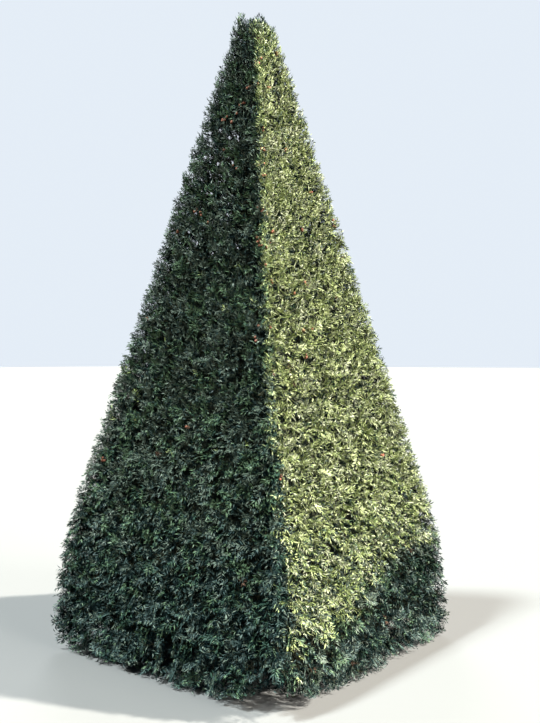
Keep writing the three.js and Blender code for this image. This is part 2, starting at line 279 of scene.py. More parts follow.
def edit_part(piece, kind, test):
    """Enters edit mode with only those vertices or faces selected that pass a test."""
    select_only(piece)
    bpy.ops.object.mode_set(mode="EDIT")
    bpy.ops.mesh.select_mode(type=kind)
    bpy.ops.mesh.select_all(action="DESELECT")
    bpy.ops.object.mode_set(mode="OBJECT")
    items = piece.data.vertices if kind == "VERT" else piece.data.polygons
    for item in items:
        item.select = test(item)
    bpy.ops.object.mode_set(mode="EDIT")


deselect_all()
print("selected", len(bpy.context.selected_objects))

# %% A limb, extruded ring by ring


def extruded_limb(name, points, radii, sides):
    """A tapering limb: a circle at the first point, extruded through the others."""
    deselect_all()
    along = points[1] - points[0]
    turn = along.to_track_quat("Z", "Y").to_euler()
    bpy.ops.mesh.primitive_circle_add(
        vertices=sides, radius=radii[0], fill_type="NGON", location=points[0], rotation=turn
    )
    piece = bpy.context.object
    piece.name = name
    bpy.ops.object.transform_apply(location=True, rotation=True, scale=True)
    bpy.ops.object.mode_set(mode="EDIT")
    bpy.ops.mesh.select_all(action="SELECT")
    for before, here, wide, slim in zip(points, points[1:], radii, radii[1:]):
        move = {"value": tuple(here - before)}
        bpy.ops.mesh.extrude_region_move(TRANSFORM_OT_translate=move)
        bpy.ops.transform.resize(value=(slim / wide,) * 3, center_override=here)
    bpy.ops.mesh.select_all(action="SELECT")
    bpy.ops.mesh.normals_make_consistent(inside=False)
    bpy.ops.object.mode_set(mode="OBJECT")
    return piece


TRUNK_TOP = 3.24
TRUNK_SWAY = 0.016
SWAY_WAVES = (7, 6)
SWAY_PHASE = 1


def trunk_axis(z):
    """The middle of the trunk at a height. It sways most half way up."""
    share = z / TRUNK_TOP
    sway = TRUNK_SWAY * math.sin(math.pi * min(share, 1))
    x = sway * math.sin(share * SWAY_WAVES[0])
    y = sway * math.cos(share * SWAY_WAVES[1] + SWAY_PHASE)
    return Vector((x, y, z))


print("trunk's tip at", [round(v, 3) for v in trunk_axis(TRUNK_TOP)])

# %% The trunk, with ribs that run down into the roots
TRUNK_RADIUS = 0.074
TRUNK_TIP_RADIUS = 0.006
TAPER_POWER = 0.85
FLARE = 0.052
FLARE_HEIGHT = 0.15
TRUNK_RINGS = 22
RING_CROWDING = 1.6  # more than 1 brings the rings closer together near the ground
TRUNK_SIDES = 20
RIBS = 5
RIB_TOP = 0.6
FURROW_DEPTH = 0.16
FURROW_COSINE = -0.3
SAME_RING = 1e-4


def trunk_radius(z):
    """Slimmer towards the tip, and flared where the roots begin."""
    share = (z / TRUNK_TOP) ** TAPER_POWER
    taper = TRUNK_RADIUS + (TRUNK_TIP_RADIUS - TRUNK_RADIUS) * share
    return taper + FLARE * math.exp(-z / FLARE_HEIGHT)


def trunk():
    """An extruded limb, with the furrows between its ribs pressed in up to a height."""
    heights = [TRUNK_TOP * (i / TRUNK_RINGS) ** RING_CROWDING for i in range(TRUNK_RINGS + 1)]
    points = [trunk_axis(z) for z in heights]
    radii = [trunk_radius(z) for z in heights]
    piece = extruded_limb("trunk_bark", points, radii, TRUNK_SIDES)
    for point in points:
        if point.z < RIB_TOP:
            press_furrows(piece, point)
    return piece


def press_furrows(piece, centre):
    """Scales the vertices between the ribs inwards, less and less up the trunk."""

    def in_furrow(vertex):
        across = vertex.co - centre
        in_ring = abs(across.z) < SAME_RING < across.length
        return in_ring and math.cos(RIBS * math.atan2(across.y, across.x)) < FURROW_COSINE

    edit_part(piece, "VERT", in_furrow)
    pressed = 1 - FURROW_DEPTH * (1 - centre.z / RIB_TOP)
    bpy.ops.transform.resize(value=(pressed, pressed, 1), center_override=centre)
    bpy.ops.object.mode_set(mode="OBJECT")


trunk_piece = trunk()
print("trunk rings", TRUNK_RINGS + 1, "vertices", len(trunk_piece.data.vertices))

# %% The boughs, one to each corner in each tier
CORNERS = ["front_right", "back_right", "back_left", "front_left"]
TIERS = ["lower", "middle", "upper"]
BOUGHS = {  # height at the trunk, height of the tip, radius
    "lower": (0.23, 0.5, 0.025),
    "middle": (1.06, 1.3, 0.02),
    "upper": (1.92, 2.08, 0.014),
}
SHELL = 0.19
STEM_LENGTH = 0.07
BOUGH_LAG = 0.034
BOUGH_ASIDE = 0.016
ASIDE_STEP = 2.4
MILLIMETRES = 1000
BOUGH_SAG = 0.3
BOUGH_TIP_SHARE = 0.55
BOUGH_COLLAR = 0.5
COLLAR_FADE = 9
BOUGH_RINGS = 7
BOUGH_SIDES = 10


def bough_path(corner, tier):
    """The points and radii of a bough, from inside the trunk to its tip."""
    start_z, tip_z, radius = BOUGHS[tier]
    number = CORNERS.index(corner)
    turn = (number - 1) * math.pi / 2
    cosine, sine = math.cos(turn), math.sin(turn)
    start = trunk_axis(start_z + BOUGH_LAG * (number - 1.5))
    reach = float(half_side(tip_z)) - SHELL - STEM_LENGTH * math.sqrt(0.5)
    aside = BOUGH_ASIDE * math.sin(number * ASIDE_STEP + tip_z * MILLIMETRES)
    x, y = reach + aside, reach - aside
    end = Vector((x * cosine - y * sine, x * sine + y * cosine, tip_z))
    middle = start.lerp(end, 0.5)
    middle.z = start.z + BOUGH_SAG * (end.z - start.z)
    shares = [i / BOUGH_RINGS for i in range(BOUGH_RINGS + 1)]
    points = [start * (1 - s) ** 2 + middle * (2 * s * (1 - s)) + end * s * s for s in shares]
    collars = [BOUGH_COLLAR * math.exp(-COLLAR_FADE * s) for s in shares]
    radii = [radius * (1 + (BOUGH_TIP_SHARE - 1) * s + c) for s, c in zip(shares, collars)]
    return points, radii


bough_paths = {(corner, tier): bough_path(corner, tier) for tier in TIERS for corner in CORNERS}
bough_pieces = {}
for (corner, tier), path in bough_paths.items():
    bough_pieces[corner, tier] = extruded_limb(f"bough_bark_{corner}_{tier}", *path, BOUGH_SIDES)
print("boughs", len(bough_pieces))

# %% Bark relief by modifiers
TRUNK_RELIEF = 0.014
BOUGH_RELIEF = 0.004
BARK_MIDDLE = 0.62
BARK_LEVELS = 2


def clouds(name, scale, depth):
    """A cloudy texture for a Displace modifier."""
    texture = bpy.data.textures.new(name, "CLOUDS")
    texture.noise_scale = scale
    texture.noise_depth = depth
    return texture


def raise_relief(piece, texture, strength, middle):
    """Adds a relief to the selected piece, and applies all its modifiers in turn."""
    relief = piece.modifiers.new("relief", "DISPLACE")
    relief.texture = texture
    relief.texture_coords = "LOCAL"
    relief.strength = strength
    relief.mid_level = middle
    for modifier in list(piece.modifiers):
        bpy.ops.object.modifier_apply(modifier=modifier.name)


def raise_bark(piece, strength):
    """Rounds a limb and raises its bark."""
    select_only(piece)
    rounding = piece.modifiers.new("rounding", "SUBSURF")
    rounding.levels = BARK_LEVELS
    rounding.render_levels = BARK_LEVELS
    raise_relief(piece, bark_flakes, strength, BARK_MIDDLE)
    bpy.ops.object.shade_smooth()
    piece.data.materials.append(BARK)


def level_foot(piece):
    """Puts the trunk's lowest ring back on the ground."""
    for vertex in piece.data.vertices:
        vertex.co.z = max(vertex.co.z, 0.0)


bark_flakes = clouds("bark flakes", scale=0.035, depth=3)
raise_bark(trunk_piece, TRUNK_RELIEF)
level_foot(trunk_piece)
for piece in bough_pieces.values():
    raise_bark(piece, BOUGH_RELIEF)
print("trunk faces", len(trunk_piece.data.polygons))

# %% [markdown]
# ## The shaded inside
# Behind the leafy layer a clipped yew is so dense with dead twigs that no sky shows through its
# lower part. A rough wall a hand's breadth under the surface stands for that tangle. Further up,
# where the sky shows between the sprays, only a slim tangle round the trunk is left. The wall is
# a cube, subdivided and drawn in to the pyramid's taper, open below and above, and lifted at the
# front right corner, where the skirt has a notch.

# %% A rough wall under the leafy layer
CORE_DEPTH = 0.078
CORE_TOP = 3.15
CORE_FOOT = 0.15
CORE_SLIMS = (2.1, 2.4)
CORE_SLIM_SHARE = 0.48
CORE_CUTS = 5
NOTCH_RISE = 0.09
NOTCH_REACH = 0.24
NOTCH_FADE = 4


def notch(distance):
    """How far the skirt is lifted, this far from the front right corner."""
    return NOTCH_RISE * np.exp(-((distance / NOTCH_REACH) ** 2))


def core_half(z):
    """Half the side of the tangle: a hand's breadth less than the pyramid's, slim near the top."""
    half = float(half_side(z))
    slim = min(max((z - CORE_SLIMS[0]) / (CORE_SLIMS[1] - CORE_SLIMS[0]), 0), 1)
    return (half - CORE_DEPTH) * (1 - slim) + CORE_SLIM_SHARE * half * slim


def core_wall():
    """A subdivided cube, drawn in to the pyramid's taper."""
    deselect_all()
    bpy.ops.mesh.primitive_cube_add(size=2, location=(0, 0, 0))
    piece = bpy.context.object
    piece.name = "shaded_inside"
    bpy.ops.object.mode_set(mode="EDIT")
    bpy.ops.mesh.select_all(action="SELECT")
    for _ in range(CORE_CUTS):
        bpy.ops.mesh.subdivide(number_cuts=1)
    bpy.ops.object.mode_set(mode="OBJECT")
    for vertex in piece.data.vertices:
        x, y, rise = vertex.co.x, vertex.co.y, (vertex.co.z + 1) / 2
        z = CORE_FOOT + (CORE_TOP - CORE_FOOT) * rise
        half = core_half(z)
        from_corner = math.hypot(1 - abs(x), 1 - abs(y)) * half
        lift = float(notch(from_corner)) if x > 0 > y else 0
        vertex.co = (x * half, y * half, z + lift * (1 - rise) ** NOTCH_FADE)
    return piece


core_piece = core_wall()
print("core vertices", len(core_piece.data.vertices))

# %% Opened, given a thickness and roughened
CORE_WALL = 0.03
CORE_RELIEF = 0.07
CORE_MIDDLE = 0.7
LEVEL = 0.8


def delete_faces(piece, test):
    """Deletes the faces that pass a test."""
    edit_part(piece, "FACE", test)
    bpy.ops.mesh.delete(type="FACE")
    bpy.ops.object.mode_set(mode="OBJECT")


def roughen(piece):
    """Gives the wall its thickness, inwards, and a rough surface."""
    select_only(piece)
    wall = piece.modifiers.new("wall", "SOLIDIFY")
    wall.thickness = CORE_WALL
    wall.offset = -1
    raise_relief(piece, clouds("tangle", scale=0.07, depth=2), CORE_RELIEF, CORE_MIDDLE)
    piece.data.materials.append(CORE)


delete_faces(core_piece, lambda face: abs(face.normal.z) > LEVEL)
roughen(core_piece)
print("core faces", len(core_piece.data.polygons))

# %% [markdown]
# ## One shoot
# A yew shoot is a twig with needles in two ranks, at right angles near its foot and more and
# more forward towards its tip. Where the shears cut it again and again it turns into a loose
# brush; low down, where it hangs free, and in some sprays of each face it stays a flat feather.
# A needle is a kite of two triangles, folded along its midrib or bent half way, so that it
# catches the light on one part and not on the other. A few dozen shoots are made once, and
# copied thousands of times.

# %% A library of shoots
SEED = 7
SHOOT_KINDS = 20
SHOOT_LENGTH = 0.07
BARE_SHARE = 0.12
PAIRS = 9
ROOT_SPREAD = 0.002
FIRST_ANGLE = 66
ANGLE_DROP = 36
ANGLE_POWER = 1.5
ANGLE_SPREAD = 0.16
NEEDLE_LENGTH = 0.027
NEEDLE_WIDTH = 0.0046
NEEDLE_ARCH = 0.09
NEEDLE_BELLY = 0.45
SHORTEST = 0.74
LONGER_HALF_WAY = 0.34
LONGEST_POWER = 0.8
LENGTH_SPREAD = 0.1
BRUSH = {"rise": 0.15, "spread": 0.32, "roll": 0.9}
FEATHER = {"rise": 0.10, "spread": 0.14, "roll": 0.35}
TINY = 1e-9


def chance(step):
    """A seeded source of chance for one step, so that a change there leaves the others alone."""
    return np.random.default_rng(SEED + step)


def normalized(vectors):
    """Vectors of the same directions, each 1 long."""
    return vectors / np.linalg.norm(vectors, axis=-1, keepdims=True)


def needle_lines(rng, form):
    """Where the needles of a shoot along +X are rooted, where they point and how long they are."""
    share = np.repeat((np.arange(PAIRS) + 0.5) / PAIRS, 2)
    side = np.tile([-1.0, 1.0], PAIRS)
    count = len(share)
    root = np.zeros((count, 3))
    root[:, 0] = SHOOT_LENGTH * (BARE_SHARE + (1 - BARE_SHARE) * share)
    root[:, 0] += rng.normal(0, ROOT_SPREAD, count)
    angle = np.radians(FIRST_ANGLE - ANGLE_DROP * share**ANGLE_POWER)
    angle += rng.normal(0, ANGLE_SPREAD, count)
    rise = rng.normal(form["rise"], form["spread"], count)
    direction = normalized(np.stack([np.cos(angle), side * np.sin(angle), rise], 1))
    swell = SHORTEST + LONGER_HALF_WAY * np.sin(np.pi * share**LONGEST_POWER)
    return root, direction, NEEDLE_LENGTH * swell * rng.normal(1, LENGTH_SPREAD, count)


def shoot_needles(rng, form):
    """The needles of one shoot along +X, flat in XY: an array of kites, each of 4 corners."""
    root, direction, length = needle_lines(rng, form)
    flat = np.cross(direction, [0, 0, 1]) + rng.normal(0, form["roll"], direction.shape)
    across = normalized(flat - direction * np.sum(flat * direction, 1, keepdims=True))
    up = np.cross(across, direction)
    up *= np.sign(up[:, 2:3] + TINY)
    arch = NEEDLE_ARCH * length[:, None] * up
    middle = root + direction * (NEEDLE_BELLY * length)[:, None] + arch
    half = across * NEEDLE_WIDTH / 2
    tip = root + direction * length[:, None] - arch
    return np.stack([root, middle - half, tip, middle + half], 1)


rng = chance(0)
SHOOTS = [shoot_needles(rng, form) for form in (BRUSH, FEATHER) for _ in range(SHOOT_KINDS)]
print("shoot kinds", len(SHOOTS), "needles in each", len(SHOOTS[0]))

# %% [markdown]
# ## Where the shoots stand
# The shears leave every shoot ending at the same surface, so the tips are placed first, evenly
# over the four faces, and each shoot grows back from its tip into the shell. More tips along
# the four arrises keep their edges full. The blunt top is a small face of its own, and tufts that
# the shears missed stand up from it. The left side grew out a little, most of all at the top,
# so every point there is moved out with it.

# %% Tips over the four faces
FACES = 4
SUNNY_FACE, SIDE_FACE = 0, 1
FAR_ARRIS, NEAR_ARRIS = 0, 3  # an arris has the number of the face before it
FACES_FROM = 0.07
BELOW_TOP = 0.02
JITTER_ACROSS = 0.38
JITTER_UP = 0.42
DEEPEST_SHARE = 0.4


def face_axes(face):
    """The outward and sideways directions of a face. Face 0 looks along +X."""
    turn = face * math.pi / 2
    out = np.array([math.cos(turn), math.sin(turn), 0.0])
    return out, np.array([-out[1], out[0], 0.0])


def scatter_tips(rng, spacing, depths):
    """Tips in jittered rows over all four faces: place, face and share across the face."""
    rows = []
    for face in range(FACES):
        out, across = face_axes(face)
        for z in np.arange(FACES_FROM, HEIGHT - BELOW_TOP, spacing):
            count = max(int(round(2 * float(half_side(z)) / spacing)), 2)
            jitter = rng.uniform(-JITTER_ACROSS, JITTER_ACROSS, count)
            share = ((np.arange(count) + 0.5 + jitter) / count) * 2 - 1
            high = z + rng.uniform(-JITTER_UP, JITTER_UP, count) * spacing
            inset = np.minimum(rng.uniform(*depths, count), DEEPEST_SHARE * half_side(high))
            half = half_side(high) - inset
            place = half[:, None] * out + (share * half)[:, None] * across
            place[:, 2] = high
            rows.append((place, np.full(count, face), share))
    return [np.concatenate(part) for part in zip(*rows)]


for face in (SUNNY_FACE, SIDE_FACE):
    print("face", face, "looks along", face_axes(face)[0].round(3).tolist())

# %% Tips along the arrises and over the top
ARRISES_FROM = 0.09
ARRIS_SPREAD = 0.009
TOP_SPACING = 0.019
TOP_JITTER = 0.006
TOP_DEPTH = (-0.004, 0.022)
TUFTS = [(-0.043, -0.050, 3.484), (-0.054, -0.050, 3.468), (-0.068, -0.050, 3.444)]
TUFTS += [(0.034, 0.014, 3.476), (0.044, 0.028, 3.458), (0.066, 0.064, 3.418)]
TUFT_SHOOTS = 3
TUFT_SPREAD = 0.008


def arris_tips(rng, spacing, depths):
    """Tips along the four arrises, so that their edges are full."""
    rows = []
    for face in range(FACES):
        out, across = face_axes(face)
        z = np.arange(ARRISES_FROM, HEIGHT - BELOW_TOP, spacing)
        inset = np.minimum(rng.uniform(*depths, len(z)), DEEPEST_SHARE * half_side(z))
        place = (half_side(z) - inset)[:, None] * (out + across)
        place += rng.normal(0, ARRIS_SPREAD, (len(z), 3))
        place[:, 2] = z + rng.uniform(-0.5, 0.5, len(z)) * spacing
        rows.append((place, np.full(len(z), face), np.ones(len(z))))
    return [np.concatenate(part) for part in zip(*rows)]


def top_tips(rng):
    """Tips over the small flat top, with the tufts."""
    steps = np.arange(-TOP_HALF, TOP_HALF, TOP_SPACING)
    grid = [part.ravel() for part in np.meshgrid(steps, steps)]
    x, y = [part + rng.uniform(-TOP_JITTER, TOP_JITTER, part.size) for part in grid]
    place = np.stack([x, y, HEIGHT - rng.uniform(*TOP_DEPTH, x.size)], 1)
    tufts = np.repeat(TUFTS, TUFT_SHOOTS, 0)
    place = np.concatenate([place, tufts + rng.normal(0, TUFT_SPREAD, tufts.shape)])
    return place, np.zeros(len(place), int), np.zeros(len(place))


print("tufts at the top", len(TUFTS), "of", TUFT_SHOOTS, "shoots each")

# %% Kept to the clipped surface
OVERGROWN_HEIGHTS = [1.9, 2.5, 3.3, 3.45]
OVERGROWTHS = [0.0, 0.014, 0.010, 0.030]


def overgrowth(z):
    """How much further out the left side stands, most of all at the very top."""
    return np.interp(z, OVERGROWN_HEIGHTS, OVERGROWTHS)


def stretched(points):
    """Moves points out on the side that grew out."""
    factor = 1 + overgrowth(points[:, 2]) / half_side(points[:, 2])
    points[:, 0] *= np.where(points[:, 0] < 0, factor, 1)
    return points


def beyond_shears(points):
    """How far points lie outside the clipped surface."""
    x, y, z = points[..., 0], points[..., 1], points[..., 2]
    wide = np.maximum(np.maximum(x, -x - overgrowth(z)), np.abs(y))
    return wide - half_side(z)


def moved_out(points, distances):
    """Moves each point out through the face that it is nearest to, or in where it is negative."""
    side = np.argmax(np.abs(points[:, :2]), 1)
    rows = np.arange(len(points))
    points[rows, side] += np.sign(points[rows, side]) * distances
    return points


def pulled_in(points, depth):
    """Moves points that lie too near the clipped surface inwards, to a least depth."""
    return moved_out(points, -np.maximum(beyond_shears(points) + depth, 0))


print("left side further out at the top by", overgrowth(HEIGHT))

# %% [markdown]
# ## Sprays
# Shoots of one branch fan out from a shared root and lie nearly in one plane. So a second set of
# points, a little further apart, stands for the sprays: each has a root inside the shell, a
# heading and a side that it turns outwards, and every shoot joins the spray that is nearest.
# Sprays hang at the foot, stand out half way up and rise towards the top, and at an arris they
# lean to the diagonal.

# %% Headings of the sprays
RISE_HEIGHTS = [0.1, 0.7, 1.6, 2.9, 3.4]
RISES = [-0.4, -0.1, 0.25, 0.5, 1.2]
TURN_POWER = 9
SLIM_FROM, SLIM_OVER = 2.9, 0.5
LEAN, LEAN_LESS = 0.55, 0.25
HEADING_SPREAD, SPREAD_LESS = 0.27, 0.09


def spray_headings(rng, face, share, z):
    """Which way sprays grow and which way is out: to the diagonal at an arris."""
    turn = face * math.pi / 2 + np.sign(share) * np.abs(share) ** TURN_POWER * math.pi / 4
    out = np.stack([np.cos(turn), np.sin(turn), np.zeros(len(turn))], 1)
    slim = np.clip((z - SLIM_FROM) / SLIM_OVER, 0, 1)[:, None]
    lean = out * (LEAN - LEAN_LESS * slim)
    lean[:, 2] += np.interp(z, RISE_HEIGHTS, RISES)
    spread = rng.normal(0, HEADING_SPREAD - SPREAD_LESS * slim, lean.shape)
    return normalized(lean + spread), out


print("rise half way up", round(float(np.interp(HEIGHT / 2, RISE_HEIGHTS, RISES)), 3))

# %% Places and roots of the sprays
SPRAY_SPACING = 0.034
SPRAY_DEPTHS = (-0.012, 0.002)
SPRAY_REACH = 0.11
REACH_SHARE = 0.8
SPRAY_ROOT_DEPTH = 0.045
ROOT_DEPTH_SHARE = 0.5
LOOKS_UP = 0.3
LOOKS_SPREAD = 0.27


def nearest_sprays(points):
    """For each point its nearest spray, and how much further off the next one is."""
    tree = KDTree(len(spray_middle))
    for number, middle in enumerate(spray_middle):
        tree.insert(middle, number)
    tree.balance()
    found = [tree.find_n(point, 2) for point in points]
    nearest = np.array([near[1] for near, _ in found])
    return nearest, np.array([far[2] - near[2] for near, far in found])


rng = chance(8)
layers = [make(rng, SPRAY_SPACING, SPRAY_DEPTHS) for make in (scatter_tips, arris_tips)]
spray_middle, spray_face, spray_share = [np.concatenate(parts) for parts in zip(*layers)]
spray_middle = stretched(spray_middle)
spray_heading, spray_out = spray_headings(rng, spray_face, spray_share, spray_middle[:, 2])
looks_noise = rng.normal(0, LOOKS_SPREAD, spray_out.shape)
spray_looks = normalized(spray_out + [0, 0, LOOKS_UP] + looks_noise)
reach = np.minimum(SPRAY_REACH, REACH_SHARE * half_side(spray_middle[:, 2]))
spray_root = spray_middle - spray_heading * reach[:, None]
depth = np.minimum(SPRAY_ROOT_DEPTH, ROOT_DEPTH_SHARE * half_side(spray_root[:, 2]))
spray_root = pulled_in(spray_root, depth)
print("sprays", len(spray_middle))

# %% [markdown]
# ## Layers of shoots
# Between two sprays a narrow gap stays open, and low down almost half of the outer shoots make
# room for the skirt. A deeper and sparser layer, painted near black as painted shade, shows dark
# in the gaps of the outer one, and a dense one inside each arris keeps the sky from showing
# through the edge. Where neighbours should be alike, a smooth wave over the tree says how.

# %% What neighbours share
WAVE_RATES = (1.3, 1.1, 0.7, 1.6)


def patchiness(points, scale, phase):
    """A smooth wave over the tree, from -1 to 1, for what neighbours share."""
    x, y, z = np.moveaxis(points / scale, -1, 0)
    rate_x, rate_y, slant, rate_z = WAVE_RATES
    over_x = np.sin(x * rate_x + phase + np.sin(y))
    over_y = np.sin(y * rate_y + z * slant)
    over_z = np.sin(z * rate_z + phase + np.sin(x))
    return over_x * over_y * over_z


waves = patchiness(spray_middle, scale=0.1, phase=0.0)
print("a wave over the sprays runs from", waves.min().round(2), "to", waves.max().round(2))

# %% Outer and inner layers and the top
TIP_SPACING = 0.0235
OUTER_DEPTHS = (-0.023, 0.004)
INNER_SPACING = 0.040
INNER_DEPTHS = (0.026, 0.05)
ARRIS_SPACING = 0.013
ARRIS_DEPTHS = (-0.014, 0.006)
INNER_ARRIS_SPACING = 0.007
INNER_ARRIS_DEPTHS = (0.016, 0.075)
GAP_WIDTH = 0.0035
SKIRT_TOP = 0.33
SKIRT_SHARE = 0.45
SHOOT_SPREAD = 0.20
OUTER, EDGES, TOP = range(3)  # the numbers after these are of the inner layers

rng = chance(1)
outer = scatter_tips(rng, TIP_SPACING, OUTER_DEPTHS)
inner = scatter_tips(rng, INNER_SPACING, INNER_DEPTHS)
edges = arris_tips(rng, ARRIS_SPACING, ARRIS_DEPTHS)
inner_edges = arris_tips(rng, INNER_ARRIS_SPACING, INNER_ARRIS_DEPTHS)
top = top_tips(rng)
layers = [outer, edges, top, inner, inner_edges]
tips, faces, _ = [np.concatenate(parts) for parts in zip(*layers)]
tips = stretched(tips)
layer = np.repeat(np.arange(len(layers)), [len(part[0]) for part in layers])
near, margin = nearest_sprays(tips)
gap = GAP_WIDTH * rng.random(len(spray_middle)) ** 0.5
kept = (margin > gap[near]) | (layer > OUTER)
kept &= (tips[:, 2] > SKIRT_TOP) | (layer > EDGES) | (rng.random(len(tips)) > SKIRT_SHARE)
tips, faces, layer, near = tips[kept], faces[kept], layer[kept], near[kept]
is_top, is_inner = layer == TOP, layer > TOP
heading = normalized(tips - spray_root[near])
heading = normalized(heading + rng.normal(0, SHOOT_SPREAD, tips.shape))
upright = [0, 0, 1.0] + rng.normal(0, SHOOT_SPREAD, (int(is_top.sum()), 3))
heading[is_top] = normalized(upright)
print("shoots", len(tips), "inner", int(is_inner.sum()), "on the top", len(upright))

# %% [markdown]
# ## Sky between the sprays
# In the upper part small patches of sky show right through the tree. Each is a straight line of
# sight through the crown, in a place dealt by chance: needles on it are left out, and the tangle
# round it is opened. A fine wave makes the rims of the patches ragged.

# %% The eye that looks through them
AZIMUTH = math.radians(38.5)
EYE_HEIGHT = 1.557
DISTANCE = 4.704
ASIDE = 0.080
TOWARDS = np.array([math.sin(AZIMUTH), -math.cos(AZIMUTH), 0])
RIGHT = np.array([math.cos(AZIMUTH), math.sin(AZIMUTH), 0])
CAMERA_PLACE = TOWARDS * DISTANCE + RIGHT * ASIDE + [0, 0, EYE_HEIGHT]
print("eye at", CAMERA_PLACE.round(3).tolist())

# %% Sight lines through the crown
SIGHT_LOW, SIGHT_HIGH = 2.12, 2.82
SIGHT_SHARES = (-0.74, 0.6)
SIGHT_COUNT = 36
SIGHT_RADIUS = (0.004, 0.0095)
SIGHT_RAGGED = 0.45
SIGHT_WAVE = (0.004, 1.5)  # scale and phase, as for every wave
SIGHT_MARGIN = 0.03


def sight_lines(rng):
    """Points on the front face and how wide each line of sight is."""
    z = rng.uniform(SIGHT_LOW, SIGHT_HIGH, SIGHT_COUNT)
    share = rng.uniform(*SIGHT_SHARES, SIGHT_COUNT)
    half = half_side(z)
    return np.stack([share * half, -half, z], 1), rng.uniform(*SIGHT_RADIUS, SIGHT_COUNT)


def clear_of_sight(points, margin=0.0):
    """True where a point is clear of every line of sight."""
    clear = np.ones(points.shape[:-1], bool)
    ragged = 1 + SIGHT_RAGGED * patchiness(points, *SIGHT_WAVE)
    for line, radius in zip(LINES, LINE_RADII):
        direction = normalized(line - CAMERA_PLACE)
        offset = points - line
        away = offset - (offset @ direction)[..., None] * direction
        clear &= np.linalg.norm(away, axis=-1) > radius * ragged + margin
    return clear


def pierce(piece):
    """Opens the tangle where a line of sight passes."""
    centres = np.array([face.center for face in piece.data.polygons])
    clear = clear_of_sight(centres, SIGHT_MARGIN)
    delete_faces(piece, lambda face: not clear[face.index])


LINES, LINE_RADII = sight_lines(chance(2))
pierce(core_piece)
print("lines of sight", len(LINES), "core faces left", len(core_piece.data.polygons))

# %% [markdown]
# ## Colours dealt by spray
# The sun on the right face is painted into its colours: most of its sprays are dealt lighter,
# yellower greens, and many needles are painted pale. The shaded faces are mostly deep and dark
# greens, lightest half way up. Low down towards the back corner a painted shadow deepens the
# right face's greens behind a soft and wavering edge, and a painted shade does so beside the near
# arris, as if it were rounded off. Shoots of one spray share a part of their tint, and each varies
# by chance.

# %% Where the sun reaches, as painted sunlight and shade
# painted shade beside the near arris, as if rounded: width by height, share of arris shoots lit
ARRIS_SHADE_HEIGHTS = [0.0, 0.2, 0.5, 1.1, 1.5, 2.5, 3.4]
ARRIS_SHADE_WIDTHS = [0.11, 0.08, 0.06, 0.035, 0.0, -0.02, -0.02]
ARRIS_SUN_SHARES = [0.0, 0.0, 0.1, 0.3, 0.8, 0.85, 0.9]
ARRIS_SHADE = -0.35
ARRIS_WAVER = 0.022
ARRIS_WAVE = (0.04, 0.5)
SUN_ROUND_BACK = 0.55
TOP_SUN = 0.15
FAR_ARRIS_SUN = 0.5


# How much painted sunlight goes into a shoot's colour; below 0 it is painted shade.
def sun_reaching(points, faces):
    """1 on the face to the sun, below 0 on its shaded edge, less and less round the back, or 0."""
    z = points[:, 2]
    past_arris = points[:, 1] + half_side(z) - np.interp(z, ARRIS_SHADE_HEIGHTS, ARRIS_SHADE_WIDTHS)
    past_arris += ARRIS_WAVER * patchiness(points, *ARRIS_WAVE)
    lit = np.where(past_arris > 0, 1.0, ARRIS_SHADE)
    round_back = SUN_ROUND_BACK * np.clip((points[:, 0] / half_side(z) + 1) / 2, 0, 1)
    return np.where(faces == SUNNY_FACE, lit, np.where(faces == SIDE_FACE, round_back, 0.0))


sunny = np.where(is_top, TOP_SUN, sun_reaching(tips, faces))
on_near_arris = (layer == EDGES) & (faces == NEAR_ARRIS)
on_far_arris = (layer == EDGES) & (faces == FAR_ARRIS)
sun_share = np.interp(tips[:, 2], ARRIS_SHADE_HEIGHTS, ARRIS_SUN_SHARES)
near_arris_sun = np.where(rng.random(len(tips)) < sun_share, 1.0, ARRIS_SHADE)
sunny[on_near_arris] = near_arris_sun[on_near_arris]
sunny[on_far_arris] = rng.random(int(on_far_arris.sum())) < FAR_ARRIS_SUN
print("shoots in full sun", int((sunny == 1).sum()))

# %% Dealing the greens
# tints by height: the sunny ones are lighter by painted sunlight
TINT_HEIGHTS = [0.0, 0.5, 1.4, 1.9, 2.3, 3.2]
SHADED_TINTS = [1.0, 1.24, 2.5, 2.6, 2.05, 1.75]
SUNNY_TINTS = [2.6, 3.05, 4.85, 4.8, 4.4, 3.65]
TINT_SPREAD = 0.35
OWN_CHANCE = 0.6
SPRAY_CHANCE = 0.3
TINT_PATCHES = 0.15
TINT_WAVE = (0.09, 1.0)
FRESH_IN_SHADE = 0.03
DEAD_SHARE = 0.0008
# a painted shadow over the foot of the right face: its top edge by share across the face
SHADE_SHARES = [-0.82, -0.76, -0.45, -0.05, 0.30, 1.00]
SHADE_HEIGHTS = [0.08, 0.18, 0.20, 0.38, 0.48, 0.54]
SHADE_BLUR = 0.21
SHADE_DEEPENS = 1.25
SHADE_WAVER = 0.07
SHADE_WAVE = (0.1, 2.0)


def tints(points, sunny):
    """The tint of shoots from their painted sunlight, deepened low down by a painted shadow."""
    z = points[:, 2]
    edge = np.interp(points[:, 1] / half_side(z), SHADE_SHARES, SHADE_HEIGHTS)
    edge += SHADE_WAVER * patchiness(points, *SHADE_WAVE)
    shade = np.clip((edge - z) / SHADE_BLUR + 0.5, 0, 1)
    dull, bright = [np.interp(z, TINT_HEIGHTS, tint) for tint in (SHADED_TINTS, SUNNY_TINTS)]
    return dull + (bright - dull) * (1 - SHADE_DEEPENS * shade) * sunny


def deal_greens(rng, points, sunny, shared):
    """The finish of each shoot, from its painted sunlight and a chance shared with its neighbours.
    """
    own = rng.normal(0, OWN_CHANCE, len(points))
    patches = TINT_PATCHES * patchiness(points, *TINT_WAVE)
    tint = tints(points, sunny) + TINT_SPREAD * (patches + SPRAY_CHANCE * shared + own)
    may_be_light = (sunny > 0) | (rng.random(len(points)) < FRESH_IN_SHADE)
    lightest = np.where(may_be_light, SUNLIT, MIDDLE)
    greens = np.clip(np.round(tint), DEEP_SHADE, lightest).astype(int)
    greens[rng.random(len(points)) < DEAD_SHARE] = DEAD
    return greens


